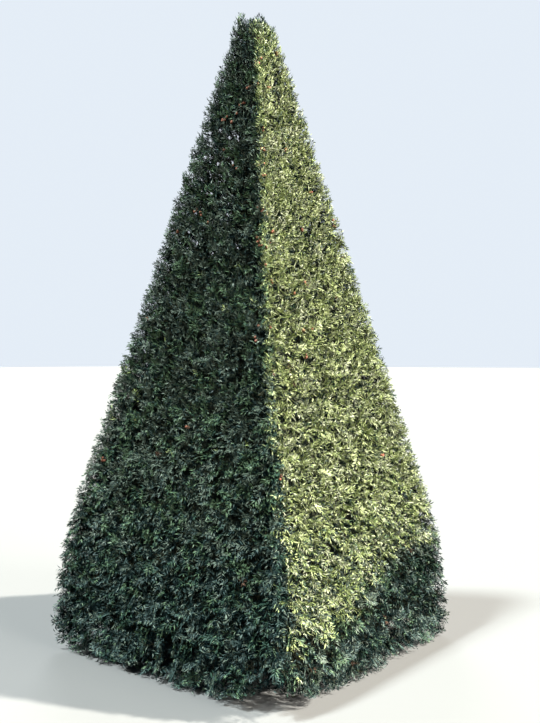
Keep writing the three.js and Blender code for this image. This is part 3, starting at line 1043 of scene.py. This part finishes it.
green = deal_greens(rng, tips, sunny, rng.normal(0, 1, len(spray_middle))[near])
# the inner layer is all painted the deepest green, as painted shade in the gaps
green[is_inner] = DEEP_SHADE
print("shoots by finish", np.bincount(green, minlength=len(NEEDLES)).tolist())

# %% [markdown]
# ## The skirt
# Near the ground the shears reach less well, and the sprays there are longer and softer:
# fans of several flat feathers in one plane that droop outwards, row over row, and hide where
# the clipped surface tucks in.

# %% One fan
FAN_LENGTH = 0.15
FAN_LENGTHS = (0.6, 1.2)
FAN_ROLL = 0.28
FAN_SIDE_SHOOTS = 6
SIDE_FROM, SIDE_OVER = 0.1, 0.8
SIDE_SPREAD = (0.6, 1.0)
SIDE_SIZES = (0.7, 1.05)
END_PLACE = 0.5
END_SIZES = (1.0, 1.25)


def one_fan(rng, root, along, out, face):
    """A shoot at the end of the fan's twig and some to either side of it."""
    flat = normalized(np.cross(along, rng.normal(0, FAN_ROLL, 3) + out))
    normal = np.cross(along, flat)
    twig = along * (FAN_LENGTH * rng.uniform(*FAN_LENGTHS))
    shoots = [(root + twig * END_PLACE, along, normal, rng.uniform(*END_SIZES), face, root)]
    for i in range(FAN_SIDE_SHOOTS):
        place = root + twig * (SIDE_FROM + SIDE_OVER * i / FAN_SIDE_SHOOTS)
        side = 1 if i % 2 else -1
        direction = normalized(along + flat * side * rng.uniform(*SIDE_SPREAD))
        shoots.append((place, direction, normal, rng.uniform(*SIDE_SIZES), face, root))
    return shoots


print("shoots in a fan", FAN_SIDE_SHOOTS + 1)

# %% Rows of fans round the foot
FAN_SPACING = 0.066
FAN_ROWS = [0.05, 0.09, 0.14, 0.20, 0.28, 0.37, 0.47]
FAN_INSET = 0.08
FAN_JITTER = (0.1, 0.9)
FAN_JITTER_UP = 0.03
FAN_OUTWARDS = (0.3, 0.7)
FAN_SIDEWAYS = 0.4
FAN_ROUND_CORNER = 0.5
ROUND_CORNER_POWER = 5
FAN_DROOP = (-0.8, 0.0)


def fan_shoots(rng):
    """The shoots of all fans: root, direction, flat normal, size, face and the fan's root."""
    rows = []
    for face in range(FACES):
        out, across = face_axes(face)
        for z in FAN_ROWS:
            half = float(half_side(max(z, TUCK_HEIGHT))) - FAN_INSET
            count = int(2 * half / FAN_SPACING)
            for share in (np.arange(count) + rng.uniform(*FAN_JITTER, count)) / count * 2 - 1:
                high = z + rng.uniform(-FAN_JITTER_UP, FAN_JITTER_UP)
                root = out * half + across * share * half + np.array([0, 0, high])
                lean = out * rng.uniform(*FAN_OUTWARDS)
                sideways = rng.normal(0, FAN_SIDEWAYS)
                lean += across * (sideways + FAN_ROUND_CORNER * share**ROUND_CORNER_POWER)
                lean[2] = rng.uniform(*FAN_DROOP)
                rows += one_fan(rng, root, normalized(lean), out, face)
    return rows


fan_rng = chance(3)
fan_columns = [np.array(column) for column in zip(*fan_shoots(fan_rng))]
fan_root, fan_along, fan_normal, fan_size, fan_face, fan_start = fan_columns
fan_number = np.arange(len(fan_root)) // (FAN_SIDE_SHOOTS + 1)
print("shoots in fans", len(fan_root))

# %% [markdown]
# ## All shoots in one list
# Every shoot is now a root, a direction, the way its flat side looks, a size and a finish.
# With the shoots in arrays, thousands of them are turned and moved in one multiplication.

# %% Roots, directions and flat sides
FEATHER_SHARE_BY_FACE = [0.2, 0.35, 0.5, 0.5]
ROOT_DEPTH = 0.010
SHOOT_SIZES = (0.8, 1.15)
SHOOT_ROLL = 0.33

shoot_size = rng.uniform(*SHOOT_SIZES, len(tips))
shoot_root = pulled_in(tips - heading * (SHOOT_LENGTH * shoot_size)[:, None], ROOT_DEPTH)
shoot_looks = normalized(spray_looks[near] + rng.normal(0, SHOOT_ROLL, heading.shape))
fan_chance = fan_rng.normal(0, 1, int(fan_number.max()) + 1)[fan_number]
# the fans get the same painted sunlight and shade in their greens
fan_green = deal_greens(fan_rng, fan_root, sun_reaching(fan_root, fan_face), fan_chance)
in_feather = rng.random(len(spray_face)) < np.array(FEATHER_SHARE_BY_FACE)[spray_face]

root = np.concatenate([shoot_root, fan_root])
heading = np.concatenate([heading, fan_along])
looks = np.concatenate([shoot_looks, fan_normal])
size = np.concatenate([shoot_size, fan_size])
green = np.concatenate([green, fan_green])
starts = np.concatenate([spray_root[near], fan_start])
spray = np.concatenate([near, fan_number + len(spray_middle)])
is_feather = np.concatenate([in_feather[near], np.ones(len(fan_root), bool)])
is_inner = np.concatenate([is_inner, np.zeros(len(fan_root), bool)])
print("shoots in all", len(root))

# %% [markdown]
# ## Masses
# Each needle belongs to the mass that it grows in: one of three tiers at one of four corners,
# or the tip. The joints between tiers climb outwards, as in the solids.

# %% Which mass a shoot belongs to
TIER_TOPS = [0.96, 1.8, 2.56]
TIER_SLANT = 0.7
LEAF_DEPTH = 0.056
LEAF_DEPTH_SHARE = 0.42
MASSES = [f"foliage_{corner}_{tier}" for tier in TIERS for corner in CORNERS] + ["foliage_tip"]


def leafy_half(z):
    """Half the side within the leafy layer, which is thinner where the pyramid is slim."""
    return half_side(z) - np.minimum(LEAF_DEPTH, LEAF_DEPTH_SHARE * half_side(z))


def mass_number(points):
    """0 to 11 for tier and corner, 12 for the tip."""
    from_axis = np.maximum(np.abs(points[:, 0]), np.abs(points[:, 1]))
    tier = np.zeros(len(points), int)
    for top in TIER_TOPS:
        tier += points[:, 2] > top + TIER_SLANT * (from_axis - leafy_half(top))
    right = points[:, 0] >= 0
    front = points[:, 1] < 0
    corner = np.where(right, np.where(front, 0, 1), np.where(front, 3, 2))
    return np.where(tier == len(TIERS), len(MASSES) - 1, tier * len(CORNERS) + corner)


mass = mass_number(root + heading * (SHOOT_LENGTH * size)[:, None] * 0.5)
print("shoots in each mass", np.bincount(mass, minlength=len(MASSES)).tolist())

# %% [markdown]
# ## Needles, clipped, with painted shade
# The shoots of a mass are turned into place, and then the shears pass: needles that stand too
# far out or hang too low are left out. Those that sit deeper are painted darker as painted shade,
# so the gaps between sprays look deep from every side. Some needles of a lit spray are painted
# pale, as undersides and painted highlights, and in some patches the greens of the shade are
# livelier. One operator for each needle would take hours; with arrays a whole mass takes a second.

# %% How far needles reach
CLIP_SLACK = 0.034
LEAST_HEIGHT = 0.006
RAGGED = 0.022
RAGGED_WAVES = [(0.05, 2.5), (0.021, 0.5)]
OPENING_INSET = 0.05
OPENING_RISE = 0.13
OPENING_REACH = 0.06


def slack_at(points):
    """How far needles may stand out: more in the skirt, which doesn't tuck in."""
    under = np.maximum(TUCK_HEIGHT - points[..., 2], 0) / TUCK_HEIGHT
    return CLIP_SLACK + TUCK * under**2


def least_height(points):
    """The lowest that needles hang: ragged, and higher at the front right corner."""
    corner = half_side(SKIRT)
    distance = np.hypot(points[..., 0] - corner, points[..., 1] + corner)
    beside = np.hypot(points[..., 0] - corner + OPENING_INSET, points[..., 1] + corner)
    opening = OPENING_RISE * np.exp(-((beside / OPENING_REACH) ** 2))
    ragged = sum(patchiness(points * [1, 1, 0], *wave) for wave in RAGGED_WAVES)
    return LEAST_HEIGHT + RAGGED * np.maximum(ragged, 0) + notch(distance) + opening


print("slack at the ground", round(float(slack_at(np.zeros(3))), 3))

# %% Needles of a mass, turned into place and clipped
KITE_CORNERS = 4


def turned_frames(along, normal):
    """Axes for each shoot: along it, across it in its plane, and out of its plane."""
    across = normalized(np.cross(normal, along))
    return np.stack([along, across, np.cross(along, across)], 2)


def needles_of(chosen, rng):
    """The kites of the chosen shoots and their finishes, without what the shears cut off."""
    kites, finish = [], []
    frames = turned_frames(heading[chosen], looks[chosen])
    kind = rng.integers(0, SHOOT_KINDS, len(chosen)) + SHOOT_KINDS * is_feather[chosen]
    for number, template in enumerate(SHOOTS):
        mine = np.nonzero(kind == number)[0]
        turned = np.einsum("nij,kcj->nkci", frames[mine] * size[chosen[mine], None, None], template)
        placed = turned + root[chosen[mine], None, None, :]
        kites.append(placed.reshape(-1, KITE_CORNERS, 3))
        finish.append(np.repeat(green[chosen[mine]], len(template)))
    kites, finish = np.concatenate(kites), np.concatenate(finish)
    kept = (beyond_shears(kites) < slack_at(kites)).all(1)
    kept &= kites[:, :, 2].min(1) > least_height(kites[:, 2])
    kept &= clear_of_sight(kites).all(1)
    return kites[kept], finish[kept]


print("needles before the shears", len(root) * len(SHOOTS[0]))

# %% Fewer inside, and darker with depth as painted shade
THINNED_DEPTH = 0.027
THINNED_SHARE = 0.65
THINNED_INSET = 0.14
PAINTED_SHADE_DEPTHS = [0.005, 0.017, 0.030]
CHANCE_STEPS = [-1, 0, 1, 4]
CHANCE_SHARES = [0.18, 0.50, 0.17, 0.15]


def thinned_inside(kites, finish, rng):
    """In front of the dark tangle, away from the arrises, a third of the deep needles is enough."""
    middle = kites.mean(1)
    backed = np.abs(middle[:, :2]).min(1) < half_side(middle[:, 2]) - THINNED_INSET
    backed &= (beyond_shears(middle) < -THINNED_DEPTH) & (middle[:, 2] < CORE_SLIMS[0])
    kept = ~backed | (rng.random(len(finish)) > THINNED_SHARE)
    return kites[kept], finish[kept]


def painted_shade_by_depth(kites, finish, rng):
    """Deeper needles are darker by one to three greens as painted shade, and each varies by chance.
    """
    depth = -beyond_shears(kites.mean(1))
    steps = rng.choice(CHANCE_STEPS, len(finish), p=CHANCE_SHARES)
    for shade_depth in PAINTED_SHADE_DEPTHS:
        steps += depth > shade_depth
    lightest = np.where(finish >= FRESH_LIT, SUNLIT, MIDDLE)
    return np.where(finish == DEAD, DEAD, np.clip(finish - steps, DEEP_SHADE, lightest))


print("chances add up to", sum(CHANCE_SHARES))

# %% Pale undersides and painted highlights, and livelier patches
PALE_SHARE = 0.32
PALE_SPREAD = 0.42
PALE_WAVE = (0.075, 4.0)
LIVELY_WAVES = [(0.06, 3.0), (0.023, 1.0)]
LIVELY_SHARES = [1.0, 0.5]
LIVELY_FROM = 0.1


def pale_undersides_and_highlights(kites, finish, rng):
    """Some needles of a lit spray turn pale, as undersides and painted highlights, more in some
    patches.
    """
    lit = kites[:, 0, 0] > np.abs(kites[:, 0, 1])
    share = PALE_SHARE + PALE_SPREAD * patchiness(kites[:, 0], *PALE_WAVE)
    turned = (rng.random(len(finish)) < share) & lit & (finish >= FRESH_LIT) & (finish != DEAD)
    return np.where(turned, PALE, finish)


def livelier(kites, finish):
    """In some patches the dark and middle greens give way to their livelier twins."""
    waves = [patchiness(kites[:, 0], *wave) for wave in LIVELY_WAVES]
    lively = sum(share * wave for share, wave in zip(LIVELY_SHARES, waves)) > LIVELY_FROM
    finish = np.where(lively & (finish == DARK), MOSSY, finish)
    return np.where(lively & (finish == MIDDLE), GRASSY, finish)


print("greens with a livelier twin", [NEEDLES[DARK].name, NEEDLES[MIDDLE].name])

# %% A mesh from arrays
FOLDED = np.array([[0, 1, 2], [0, 2, 3]])
BENT = np.array([[0, 1, 3], [1, 2, 3]])
FOLDED_SHARE = 0.5


def kite_faces(count, rng):
    """Two triangles for each kite: half of them folded along the midrib, half bent across it."""
    pattern = np.where(rng.random(count)[:, None, None] < FOLDED_SHARE, FOLDED, BENT)
    return ((np.arange(count) * KITE_CORNERS)[:, None, None] + pattern).reshape(-1, 3)


def mesh_of(name, corners, faces_of, finish, materials):
    """A mesh object from its corners, the corner numbers of its faces and their finishes."""
    mesh = bpy.data.meshes.new(name)
    mesh.vertices.add(len(corners))
    mesh.vertices.foreach_set("co", corners.astype(np.float32).ravel())
    mesh.loops.add(faces_of.size)
    mesh.loops.foreach_set("vertex_index", faces_of.astype(np.int32).ravel())
    mesh.polygons.add(len(faces_of))
    loop_starts = np.arange(0, faces_of.size, faces_of.shape[1], dtype=np.int32)
    mesh.polygons.foreach_set("loop_start", loop_starts)
    mesh.polygons.foreach_set("material_index", finish.astype(np.int32))
    for material in materials:
        mesh.materials.append(material)
    mesh.update(calc_edges=True)
    piece = bpy.data.objects.new(name, mesh)
    bpy.context.scene.collection.objects.link(piece)
    return piece


print("triangles in a needle", len(FOLDED), "or", len(BENT))

# %% The needles of every mass
needle_rng = chance(4)
needle_pieces = {}
for number, name in enumerate(MASSES):
    chosen = np.nonzero(mass == number)[0]
    kites, finish = thinned_inside(*needles_of(chosen, needle_rng), needle_rng)
    finish = painted_shade_by_depth(kites, finish, needle_rng)
    finish = livelier(kites, pale_undersides_and_highlights(kites, finish, needle_rng))
    triangles = kite_faces(len(kites), needle_rng)
    piece_name, corners = name.replace("foliage", "needles"), kites.reshape(-1, 3)
    needle_pieces[name] = mesh_of(piece_name, corners, triangles, np.repeat(finish, 2), NEEDLES)
needle_triangles = sum(len(piece.data.polygons) for piece in needle_pieces.values())
print("needles", needle_triangles // 2, "triangles", needle_triangles)

# %% [markdown]
# ## Twigs
# Every shoot has to hang on something. From the tip of each bough a few branches fan out inside
# the shell to points a hand's breadth apart, from each of those a twig runs to the root of every
# spray near it, and from there one to each shoot and on through its needles. All of them are
# thin three-sided spikes, and those of the dark inner layer have no bend.

# %% Three-sided spikes
SIDES = 3
STEEP = 0.9


def spikes(stations, radii):
    """Three-sided twigs through several stations each, down to a point at the last."""
    along = normalized(stations[1] - stations[0] + TINY)
    guide = np.where(np.abs(along[:, 2:3]) > STEEP, [[1.0, 0, 0]], [[0, 0, 1.0]])
    side = normalized(np.cross(along, guide))
    other = np.cross(along, side)
    rings = []
    for place, radius in zip(stations, radii):
        for turn in (0, 2 * math.pi / SIDES, 4 * math.pi / SIDES):
            rings.append(place + (side * math.cos(turn) + other * math.sin(turn)) * radius)
    corners = np.stack(rings + [stations[-1]], 1)
    last, point = SIDES * (len(radii) - 1), SIDES * len(radii)
    faces_of = []
    for a, b in ((0, 1), (1, 2), (2, 0)):
        for ring in range(0, last, SIDES):
            above = ring + SIDES
            faces_of += [[ring + a, ring + b, above + b], [ring + a, above + b, above + a]]
        faces_of.append([last + a, last + b, point])
    numbers = (np.arange(len(corners)) * corners.shape[1])[:, None, None] + np.array(faces_of)
    return corners.reshape(-1, 3), numbers.reshape(-1, 3)


sample = spikes([np.zeros((1, 3)), np.eye(3)[2:]], [0.01])
print("faces of the plainest spike", len(sample[1]))

# %% Forks and ends of the twigs
HUB_SPACING = 0.13
HUB_INSET = 0.03
HUB_INSET_SHARE = 0.6
HUB_NUDGE = 1e-6
TWIG_REACH = 0.9
TWIG_SLACK_SHARE = 0.6
MOST_CUT = 0.9
LEAST_GROWTH = 1e-3


def hubs_of(points):
    """Where branches fork: the middles of groups of neighbouring sprays, pulled inwards."""
    cells = np.floor(points / HUB_SPACING).astype(int)
    _, group = np.unique(cells, axis=0, return_inverse=True)
    group = group.ravel()
    count = np.bincount(group)
    middle = np.stack([np.bincount(group, points[:, k]) / count for k in range(3)], 1)
    inward = normalized(-middle * [1, 1, 0] + HUB_NUDGE)
    room = np.linalg.norm(middle[:, :2], axis=1) * HUB_INSET_SHARE
    return middle + inward * np.minimum(HUB_INSET, room)[:, None], group


def twig_ends(chosen):
    """The ends of the shoots' twigs, cut back to the clipped surface."""
    reach = SHOOT_LENGTH * size[chosen] * TWIG_REACH
    whole = root[chosen] + heading[chosen] * reach[:, None]
    inside, outside = beyond_shears(root[chosen]), beyond_shears(whole)
    over = np.maximum(outside - slack_at(whole) * TWIG_SLACK_SHARE, 0)
    growth = np.maximum(outside - inside, LEAST_GROWTH)
    share = 1 - np.clip(over / growth, 0, MOST_CUT)
    return root[chosen] + (whole - root[chosen]) * share[:, None]


print("branches fork every", HUB_SPACING, "m")

# %% A web of twigs for each mass
BRANCH_RADII = [0.0045, 0.0035]
SIDE_BRANCH_RADII = [0.003]
TWIG_RADII = [0.0019, 0.0013]
KNEE_SPREAD = 0.03
KNEE_SAG = 0.02
TIP_ANCHOR = 2.75


def twig_mesh(name, chosen, anchor, rng):
    """Branches from the anchor, side branches on to the sprays, and a twig through each shoot."""
    ends = twig_ends(chosen)
    furthest = np.maximum(beyond_shears(root[chosen]), beyond_shears(ends))
    clear = (ends[:, 2] > least_height(ends)) & (furthest < slack_at(ends))
    chosen, ends = chosen[clear], ends[clear]
    _, first = np.unique(spray[chosen], return_index=True)
    forks = starts[chosen][first]
    hubs, group = hubs_of(forks)
    from_tip = np.repeat(anchor[None], len(hubs), 0)
    reach = np.linalg.norm(hubs - anchor, axis=1, keepdims=True)
    knees = (hubs + anchor) / 2 + rng.normal(0, KNEE_SPREAD, hubs.shape) * reach
    parts = [spikes([from_tip, knees - [0, 0, KNEE_SAG], hubs], BRANCH_RADII)]
    parts.append(spikes([hubs[group], forks], SIDE_BRANCH_RADII))
    for mine, stations in ((~is_inner[chosen], (starts, root)), (is_inner[chosen], (starts,))):
        route = [station[chosen[mine]] for station in stations] + [ends[mine]]
        parts.append(spikes(route, TWIG_RADII[: len(stations)]))
    offset = np.cumsum([0] + [len(corners) for corners, _ in parts])
    corners = np.concatenate([corners for corners, _ in parts])
    numbers = np.concatenate([part[1] + start for part, start in zip(parts, offset)])
    corners[:, 2] = np.maximum(corners[:, 2], LEAST_HEIGHT / 2)
    return mesh_of(name, corners, numbers, np.zeros(len(numbers)), [TWIG])


def anchor_of(number):
    """The tip of the mass's bough, or for the topmost mass a place on the trunk."""
    if MASSES[number] == "foliage_tip":
        return np.array(trunk_axis(TIP_ANCHOR))
    tier, corner = divmod(number, len(CORNERS))
    points, _ = bough_paths[CORNERS[corner], TIERS[tier]]
    return np.array(points[-1])


twig_rng = chance(5)
twig_pieces = {}
for number, name in enumerate(MASSES):
    chosen = np.nonzero(mass == number)[0]
    piece_name = name.replace("foliage", "twigs")
    twig_pieces[name] = twig_mesh(piece_name, chosen, anchor_of(number), twig_rng)
print("twig faces", sum(len(piece.data.polygons) for piece in twig_pieces.values()))

# %% [markdown]
# ## Arils
# A female yew bears soft red cups, each round one dark seed. One is modelled as by hand: a
# small ball whose top is pressed in to a cup, and a seed that stands in it. The copies go to
# shoots of the upper part, more of them beside the near arris, as the photograph shows them.

# %% One aril with its seed
ARIL_RADIUS = 0.0076
RIM_HEIGHT = 0.8 * ARIL_RADIUS
PRESSED_BY = 0.9 * ARIL_RADIUS
STRETCHED_UP = 1.15
SEED_RADIUS = 0.45 * ARIL_RADIUS
SEED_HEIGHT = 0.25 * ARIL_RADIUS
NEAR_SEED = 0.46 * ARIL_RADIUS
RED = Finish("aril red", (0.235, 0.086, 0.050), roughness=0.55, gloss=0.2).material
SEED_BROWN = Finish("seed brown", (0.035, 0.022, 0.014), roughness=0.4, gloss=0.4).material


def one_aril():
    """A ball with its top pressed in, and a seed in the cup."""
    deselect_all()
    bpy.ops.mesh.primitive_uv_sphere_add(segments=8, ring_count=6, radius=ARIL_RADIUS)
    cup = bpy.context.object
    cup.name = "arils"
    edit_part(cup, "VERT", lambda vertex: vertex.co.z > RIM_HEIGHT)
    bpy.ops.transform.translate(value=(0, 0, -PRESSED_BY))
    bpy.ops.mesh.select_all(action="SELECT")
    bpy.ops.transform.resize(value=(1, 1, STRETCHED_UP))
    bpy.ops.mesh.primitive_ico_sphere_add(
        subdivisions=1, radius=SEED_RADIUS, location=(0, 0, SEED_HEIGHT)
    )
    bpy.ops.object.mode_set(mode="OBJECT")
    cup.data.materials.append(RED)
    cup.data.materials.append(SEED_BROWN)
    return cup


def split_seed(cup):
    """The faces of the seed take the second finish: they lie in the middle of the cup."""
    for face in cup.data.polygons:
        from_middle = (face.center - Vector((0, 0, SEED_HEIGHT))).length
        face.material_index = int(from_middle < NEAR_SEED)
        face.use_smooth = True


aril = one_aril()
split_seed(aril)
print("faces of one aril", len(aril.data.polygons))

# %% Where arils hang
ARIL_SHOOTS = 88
ARILS_ON_SHOOT = (1, 3)
ARIL_DEPTH = 0.002
ARIL_SPREAD = 0.007
ARIL_LOW, ARIL_HIGH = 0.8, 3.25
MORE_FROM, MORE_OVER = 0.9, 1.4
LEAST_LIKELY = 0.01
ARIL_PLACE = 0.8
ARIL_REACH = (-0.03, 0.01)
NEAR_ARRIS_MORE = 3
NEAR_ARRIS_REACH = 0.07


def aril_chances(middle):
    """How likely each shoot carries arils: in the upper part, near the surface and the arris."""
    z = root[:, 2]
    likely = np.clip((z - MORE_FROM) / MORE_OVER, LEAST_LIKELY, 1) * (green != DEAD)
    likely *= (z > ARIL_LOW) * (z < ARIL_HIGH)
    outside = beyond_shears(middle)
    likely *= (outside > ARIL_REACH[0]) & (outside < ARIL_REACH[1])
    half = half_side(middle[:, 2])
    from_arris = np.hypot(middle[:, 0] - half, middle[:, 1] + half)
    likely *= 1 + NEAR_ARRIS_MORE * (from_arris < NEAR_ARRIS_REACH)
    return likely / likely.sum()


def aril_places(rng):
    """Places of one to three arils on each chosen shoot, just under the clipped surface."""
    middle = root + heading * (SHOOT_LENGTH * size * ARIL_PLACE)[:, None]
    chosen = rng.choice(len(root), ARIL_SHOOTS, replace=False, p=aril_chances(middle))
    fewest, most = ARILS_ON_SHOOT
    places = np.repeat(middle[chosen], rng.integers(fewest, most + 1, ARIL_SHOOTS), 0)
    places += rng.normal(0, ARIL_SPREAD, places.shape)
    return moved_out(places, -ARIL_DEPTH - beyond_shears(places))


aril_rng = chance(6)
places = aril_places(aril_rng)
print("arils", len(places), "on", ARIL_SHOOTS, "shoots")

# %% Copies of the aril
MOST_TURNED = 1.2


def copy_arils(cup, rng):
    """Copies of the cup, each turned by chance, joined into one piece."""
    copies = []
    for place in places:
        copy = cup.copy()
        copy.data = cup.data.copy()
        copy.location = place
        copy.rotation_euler = rng.uniform(-MOST_TURNED, MOST_TURNED, 3)
        bpy.context.scene.collection.objects.link(copy)
        copies.append(copy)
    bpy.data.objects.remove(cup)
    select_only(copies[0])
    for copy in copies:
        copy.select_set(True)
    bpy.ops.object.transform_apply(location=True, rotation=True, scale=True)
    bpy.ops.object.join()
    joined = bpy.context.object
    joined.name = "arils"
    return joined


aril_piece = copy_arils(aril, aril_rng)
print("faces of all arils", len(aril_piece.data.polygons))

# %% [markdown]
# ## Riding and replacing
# Every piece rides on the one body of the tree. The needles of a mass stand for its solid, and
# the bark pieces stand for the limbs.

# %% Tie the pieces to the frame
for name in MASSES:
    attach(needle_pieces[name], "root")
    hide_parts(name)
    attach(twig_pieces[name], "root")
for (corner, tier), piece in bough_pieces.items():
    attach(piece, "root")
    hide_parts(f"bough_{corner}_{tier}")
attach(trunk_piece, "root")
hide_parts("trunk")
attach(core_piece, "root")
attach(aril_piece, "root")
print("pieces", 2 * len(MASSES) + len(bough_pieces) + len([trunk_piece, core_piece, aril_piece]))

# %% [markdown]
# ## Stage, light and camera
# The floor and the background are plain and pale. A soft sun on the right with a broad bright
# haze round it lights one face, open sky from above and the front left reaches the faces in
# shade, and a weak light from behind keeps the far side readable. The camera stands at eye
# height, level, and looks at the front right arris a little from the left, as the photograph does.

# %% Floor
FLOOR_SIZE = 400
FLOOR_DROP = 0.001
SEEN_FLOOR = (0.14, 0.14, 0.137)
DIM_FLOOR = (0.05, 0.05, 0.045)


def floor_finish():
    """Pale to the eye, but dark as a reflector, so that the tree is lit from above only."""
    floor = Finish("pale floor", SEEN_FLOOR, roughness=0.9)
    dim = floor.node("ShaderNodeBsdfDiffuse", {}, {"Color": (*DIM_FLOOR, 1)})["BSDF"]
    rays = floor.node("ShaderNodeLightPath", {}, {})["Is Camera Ray"]
    pale = Value(floor, floor.shader.outputs["BSDF"])
    mixed = floor.node("ShaderNodeMixShader", {}, {0: rays, 1: dim, 2: pale})["Shader"]
    floor.set(floor.tree.nodes["Material Output"], "Surface", mixed)
    return floor.material


def stage_floor():
    """A wide plane, just under the ground level so that it never meets the trunk's foot."""
    deselect_all()
    bpy.ops.mesh.primitive_plane_add(size=FLOOR_SIZE, location=(0, 0, -FLOOR_DROP))
    floor = bpy.context.object
    floor.name = "floor"
    floor.data.materials.append(floor_finish())


stage_floor()
print("floor", FLOOR_SIZE, "m wide")

# %% Background
SKY = (0.78, 0.85, 0.93)
SKY_LIGHT = (0.55, 0.75, 1.0)
AMBIENT = 0.07


def background():
    """Pale to the eye, and dimmer as a light."""
    world = bpy.data.worlds.new("pale sky")
    bpy.context.scene.world = world
    world.use_nodes = True
    nodes, links = world.node_tree.nodes, world.node_tree.links
    seen = nodes["Background"]
    light = nodes.new("ShaderNodeBackground")
    for node, colour, strength in ((seen, SKY, 1.0), (light, SKY_LIGHT, AMBIENT)):
        node.inputs["Color"].default_value = (*colour, 1)
        node.inputs["Strength"].default_value = strength
    rays = nodes.new("ShaderNodeLightPath")
    mix = nodes.new("ShaderNodeMixShader")
    links.new(rays.outputs["Is Camera Ray"], mix.inputs["Fac"])
    links.new(light.outputs["Background"], mix.inputs[1])
    links.new(seen.outputs["Background"], mix.inputs[2])
    links.new(mix.outputs["Shader"], nodes["World Output"].inputs["Surface"])
    return world


print("background", background().name)

# %% Lights: towards the lamp, spread in degrees, strength and colour
LIGHTS = {
    "sun": ((0.62, 0.42, 0.66), 2, 16.0, (1.0, 0.96, 0.87)),
    "bright haze": ((0.88, 0.05, 0.47), 30, 4.5, (1.0, 0.98, 0.92)),
    "open sky": ((-0.20, -0.44, 0.87), 6, 11.0, (0.86, 0.95, 0.96)),
    "behind": ((-0.6, 0.6, 0.6), 20, 2.5, (0.90, 0.95, 1.0)),
}
LAMP_DISTANCE = 10


def soft_light(name, towards, spread, strength, colour):
    """A lamp so far off that its light is even from foot to tip, softened by its spread."""
    data = bpy.data.lights.new(name, "SUN")
    data.angle = math.radians(spread)
    data.energy = strength
    data.color = colour
    lamp = bpy.data.objects.new(name, data)
    lamp.location = Vector(towards) * LAMP_DISTANCE
    lamp.rotation_euler = (-Vector(towards)).to_track_quat("-Z", "Y").to_euler()
    bpy.context.scene.collection.objects.link(lamp)


for name, settings in LIGHTS.items():
    soft_light(name, *settings)
print("lamps", list(LIGHTS))

# %% Camera at the photograph's angle
LENS = 42.1
SENSOR = 36


def camera():
    """A level camera where the sight lines start."""
    data = bpy.data.cameras.new("camera")
    data.lens = LENS
    data.sensor_width = SENSOR
    piece = bpy.data.objects.new("camera", data)
    piece.location = CAMERA_PLACE
    piece.rotation_euler = (-Vector(TOWARDS)).to_track_quat("-Z", "Y").to_euler()
    bpy.context.scene.collection.objects.link(piece)
    bpy.context.scene.camera = piece
    return piece


print("camera at", [round(v, 3) for v in camera().location])
bpy.context.scene.view_settings.view_transform = "Standard"
